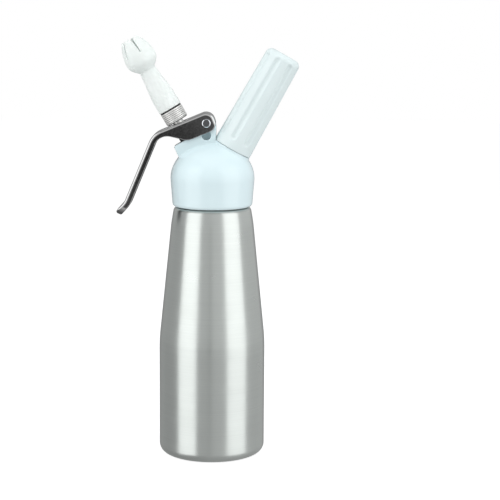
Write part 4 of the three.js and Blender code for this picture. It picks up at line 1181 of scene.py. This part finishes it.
PIN_HEAD = 3.15
PIN_HEAD_THICKNESS = 1.0
PIN_LIP = 2.55
PIN_FLAT = 2.2
PIN_CHAMFER = 0.35
PIN_SHAFT = 2.4
PIN_GROOVE = 1.7
CLIP_PLAY = 0.1
PIN_FACE = PIN_LIP - 0.05
CLIP_OUTER = 4.1
CLIP_INNER = 2.9
CLIP_LOBE_PLACE = 2.9
CLIP_LOBE = 0.9
CLIP_MOUTH = math.radians(40)
CLIP_MOUTH_FLOOR = 1.5


def pin_metal():
    """Polished steel with a rough, darker face inside the head's lip."""
    material = polished_metal("pin_steel", (0.70, 0.73, 0.77), (0.78, 0.81, 0.85), rough=0.12)
    tree = material.node_tree
    inner, outer = PIN_FACE - 0.03, PIN_FACE + 0.03
    set_inputs(tree.nodes["Principled BSDF"], {"Roughness": by_radius(tree, inner, outer, 0.42, 0.12)})
    darken(tree, by_radius(tree, inner, outer, 0.2, 1))
    return material


def pin_mesh(low, high):
    clip_low, clip_high = span("pin_clip", ACROSS)
    groove_start, groove_end = clip_low[2] - CLIP_PLAY, clip_high[2] + CLIP_PLAY
    face, tail = low[2], high[2]
    profile = rounded([
        (0, face),
        (PIN_FLAT, face, 0.1),
        ((PIN_FLAT + PIN_LIP) / 2, face + PIN_CHAMFER, 0.05),
        (PIN_LIP, face, 0.05),
        (PIN_HEAD, face + PIN_CHAMFER, 0.15),
        (PIN_HEAD, face + PIN_HEAD_THICKNESS, 0.1),
        (PIN_SHAFT, face + PIN_HEAD_THICKNESS),
        (PIN_SHAFT, groove_start, 0.1),
        (PIN_GROOVE, groove_start),
        (PIN_GROOVE, groove_end),
        (PIN_SHAFT, groove_end, 0.1),
        (PIN_SHAFT, tail, 0.4),
        (0, tail),
    ])
    return lathed("pin_skin", profile)


def clip_mesh(low, high):
    """Retaining ring with three inner lobes and an open side."""
    hole = bar_field(CLIP_INNER, low[2] - OVERRUN, high[2] + OVERRUN)
    body = cut(bar_field(CLIP_OUTER, low[2], high[2]), hole, 0.12)
    for turn in (math.pi / 2, math.pi, 3 * math.pi / 2):
        place = Matrix.Rotation(turn, 4, "Z") @ Matrix.Translation(Vector((CLIP_LOBE_PLACE, 0, 0)) * MM)
        body = join(body, placed(bar_field(CLIP_LOBE, low[2], high[2]), place), 0.3)

    def opening(x, y, z):
        reach = np.hypot(x, y)
        side = np.abs(np.arctan2(y, x)) * reach - CLIP_MOUTH * CLIP_OUTER
        return np.maximum(side, CLIP_MOUTH_FLOOR - reach)

    body = cut(body, opening, 0.15)
    return wrapped("clip_skin", body, low, high, CLIP_GRID)


# Inner pieces keep their solids and get finishes


def dress_inner_pieces():
    finishes = {
        "head_gasket": (silicone, "grey_silicone"),
        "valve_seal": (black_rubber, "black_rubber"),
        "stem_o_ring": (black_rubber, "black_rubber"),
        "spring_washer": (turned, "turned_steel"),
        "valve_spring": (spring_steel, "spring_steel"),
        "intake_body": (brass, "inlet_brass"),
        "check_valve_sleeve": (black_rubber, "black_rubber"),
        "piercing_pin": (turned, "turned_steel"),
        "charger_seal": (black_rubber, "black_rubber"),
        "gas_charger": (galvanized, "charger_steel"),
    }
    for node, (material, slot) in finishes.items():
        piece = frame["nodes"][node]
        piece.data.materials.clear()
        piece.data.materials.append(material)
        piece.data.shade_smooth()
        piece.data.set_sharp_from_angle(angle=SHARP_ANGLE)


def shorten_spring():
    """Gives the valve spring a mesh of its own."""
    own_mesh(frame["nodes"]["valve_spring"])


# Studio

def add_camera():
    data = bpy.data.cameras.new("camera")
    data.lens = CAMERA_LENS
    data.sensor_width = CAMERA_SENSOR
    camera = bpy.data.objects.new("camera", data)
    bpy.context.scene.collection.objects.link(camera)
    turn = Matrix.Rotation(CAMERA_PITCH, 4, "X") @ Matrix.Rotation(CAMERA_ROLL, 4, "Z")
    camera.matrix_world = Matrix.Translation(Vector(CAMERA_PLACE)) @ turn
    bpy.context.scene.camera = camera


def add_softbox(name, azimuth, elevation, distance, width, height, power, mirrored):
    """Area light that faces the object."""
    data = bpy.data.lights.new(name, "AREA")
    data.shape = "RECTANGLE"
    data.size, data.size_y = width, height
    data.energy = power
    light = bpy.data.objects.new(name, data)
    bpy.context.scene.collection.objects.link(light)
    a, e = math.radians(azimuth), math.radians(elevation)
    back = Vector((math.sin(a) * math.cos(e), -math.cos(a) * math.cos(e), math.sin(e)))
    light.matrix_world = (Matrix.Translation(Vector(LIGHT_TARGET) + back * distance)
                          @ back.to_track_quat("Z", "Y").to_matrix().to_4x4())
    light.visible_glossy = mirrored


def add_world():
    """White surroundings for the eye. In reflections they are grey, darker low down and where the
    photograph's lens stood."""
    world = bpy.data.worlds.new("studio")
    world.use_nodes = True
    tree = world.node_tree
    tree.nodes.clear()
    towards = coordinates(tree, "Generated")
    lens = add_node(tree, "ShaderNodeVectorMath",
                    {0: towards, 1: Vector(LENS_SIDE).normalized()}, "DOT_PRODUCT")

    def level(source, stops):
        """Grey level over a direction's part from -1 to 1."""
        greys = [((share + 1) / 2, (grey,) * 3) for share, grey in stops]
        return graded(tree, ranged(tree, source, -1, 1, 0, 1), greys)

    grey = level(component(tree, towards, "X"), WORLD_BY_SIDE)
    for source, stops in (
        (component(tree, towards, "Y"), WORLD_BY_DEPTH),
        (component(tree, towards, "Z"), WORLD_BY_HEIGHT),
        (lens.outputs["Value"], WORLD_BY_LENS_SIDE),
    ):
        product = add_node(tree, "ShaderNodeVectorMath", {0: grey, 1: level(source, stops)}, "MULTIPLY")
        grey = product.outputs["Vector"]
    mirrored = add_node(tree, "ShaderNodeBackground", {"Color": grey})
    seen = add_node(tree, "ShaderNodeBackground", {"Color": (1, 1, 1, 1)})
    path = tree.nodes.new("ShaderNodeLightPath")
    mix = add_node(tree, "ShaderNodeMixShader", {
        "Fac": path.outputs["Is Camera Ray"],
        1: mirrored.outputs["Background"],
        2: seen.outputs["Background"],
    })
    add_node(tree, "ShaderNodeOutputWorld", {"Surface": mix.outputs["Shader"]})
    bpy.context.scene.world = world


def add_floor():
    half = FLOOR_HALF
    mesh = bpy.data.meshes.new("floor")
    mesh.from_pydata([(-half, -half, 0), (half, -half, 0), (half, half, 0), (-half, half, 0)], [],
                     [(0, 1, 2, 3)])
    material, shader, tree = new_material("floor_paper")
    grain = noise(tree, (300, 300, 300))
    set_inputs(shader, {
        "Roughness": 0.9,
        "Specular IOR Level": 0.1,
        "Emission Color": (1, 1, 1, 1),
        "Emission Strength": FLOOR_GLOW,
        "Base Color": tint(tree, grain, (0.44, 0.445, 0.445), (0.47, 0.475, 0.475)),
    })
    mesh.materials.append(material)
    floor = bpy.data.objects.new("floor", mesh)
    bpy.context.scene.collection.objects.link(floor)
    floor.location.z = -FLOOR_DROP
    floor.visible_glossy = False
    floor.visible_diffuse = False
    floor.visible_shadow = False


# Pieces by the CAD node that each stands for: its mesh, frame, material, slot and body
PIECES = {
    "bottle": (bottle_mesh, UPRIGHT, aluminium, "bottle_aluminium", "bottle"),
    "head_shell": (head_mesh, UPRIGHT, head_enamel, "head_enamel", "head"),
    "stem_cap": (stem_cap_mesh, NOZZLE, black_plastic, "black_plastic", "stem"),
    "nozzle_adapter": (adapter_mesh, NOZZLE, grooved_metal(), "turned_steel", "stem"),
    "valve_stem": (stem_mesh, NOZZLE, turned, "turned_steel", "stem"),
    "nozzle_seal": (seal_mesh, NOZZLE, black_rubber, "black_rubber", "nozzle_ring"),
    "tulip_nozzle": (nozzle_mesh, NOZZLE, nozzle_white, "nozzle_plastic", "nozzle"),
    "charger_holder": (holder_mesh, CHARGER, holder_enamel, "holder_plastic", "holder"),
    "lever": (lever_mesh, LEVER, chrome, "lever_chrome", "lever"),
    "lever_pin": (pin_mesh, ACROSS, pin_metal(), "lever_chrome", "head"),
    "pin_clip": (clip_mesh, ACROSS, spring_steel, "spring_steel", "head"),
}

add_camera()
for cad_node, (make_mesh, home, finish, slot_name, body_name) in PIECES.items():
    add_piece(make_mesh(*span(cad_node, home)), home, finish, slot_name, body_name, cad_node)
dress_inner_pieces()
shorten_spring()
add_world()
add_floor()
for light_name, settings in SOFTBOXES.items():
    add_softbox(light_name, *settings)
bpy.context.scene.view_settings.view_transform = "Standard"
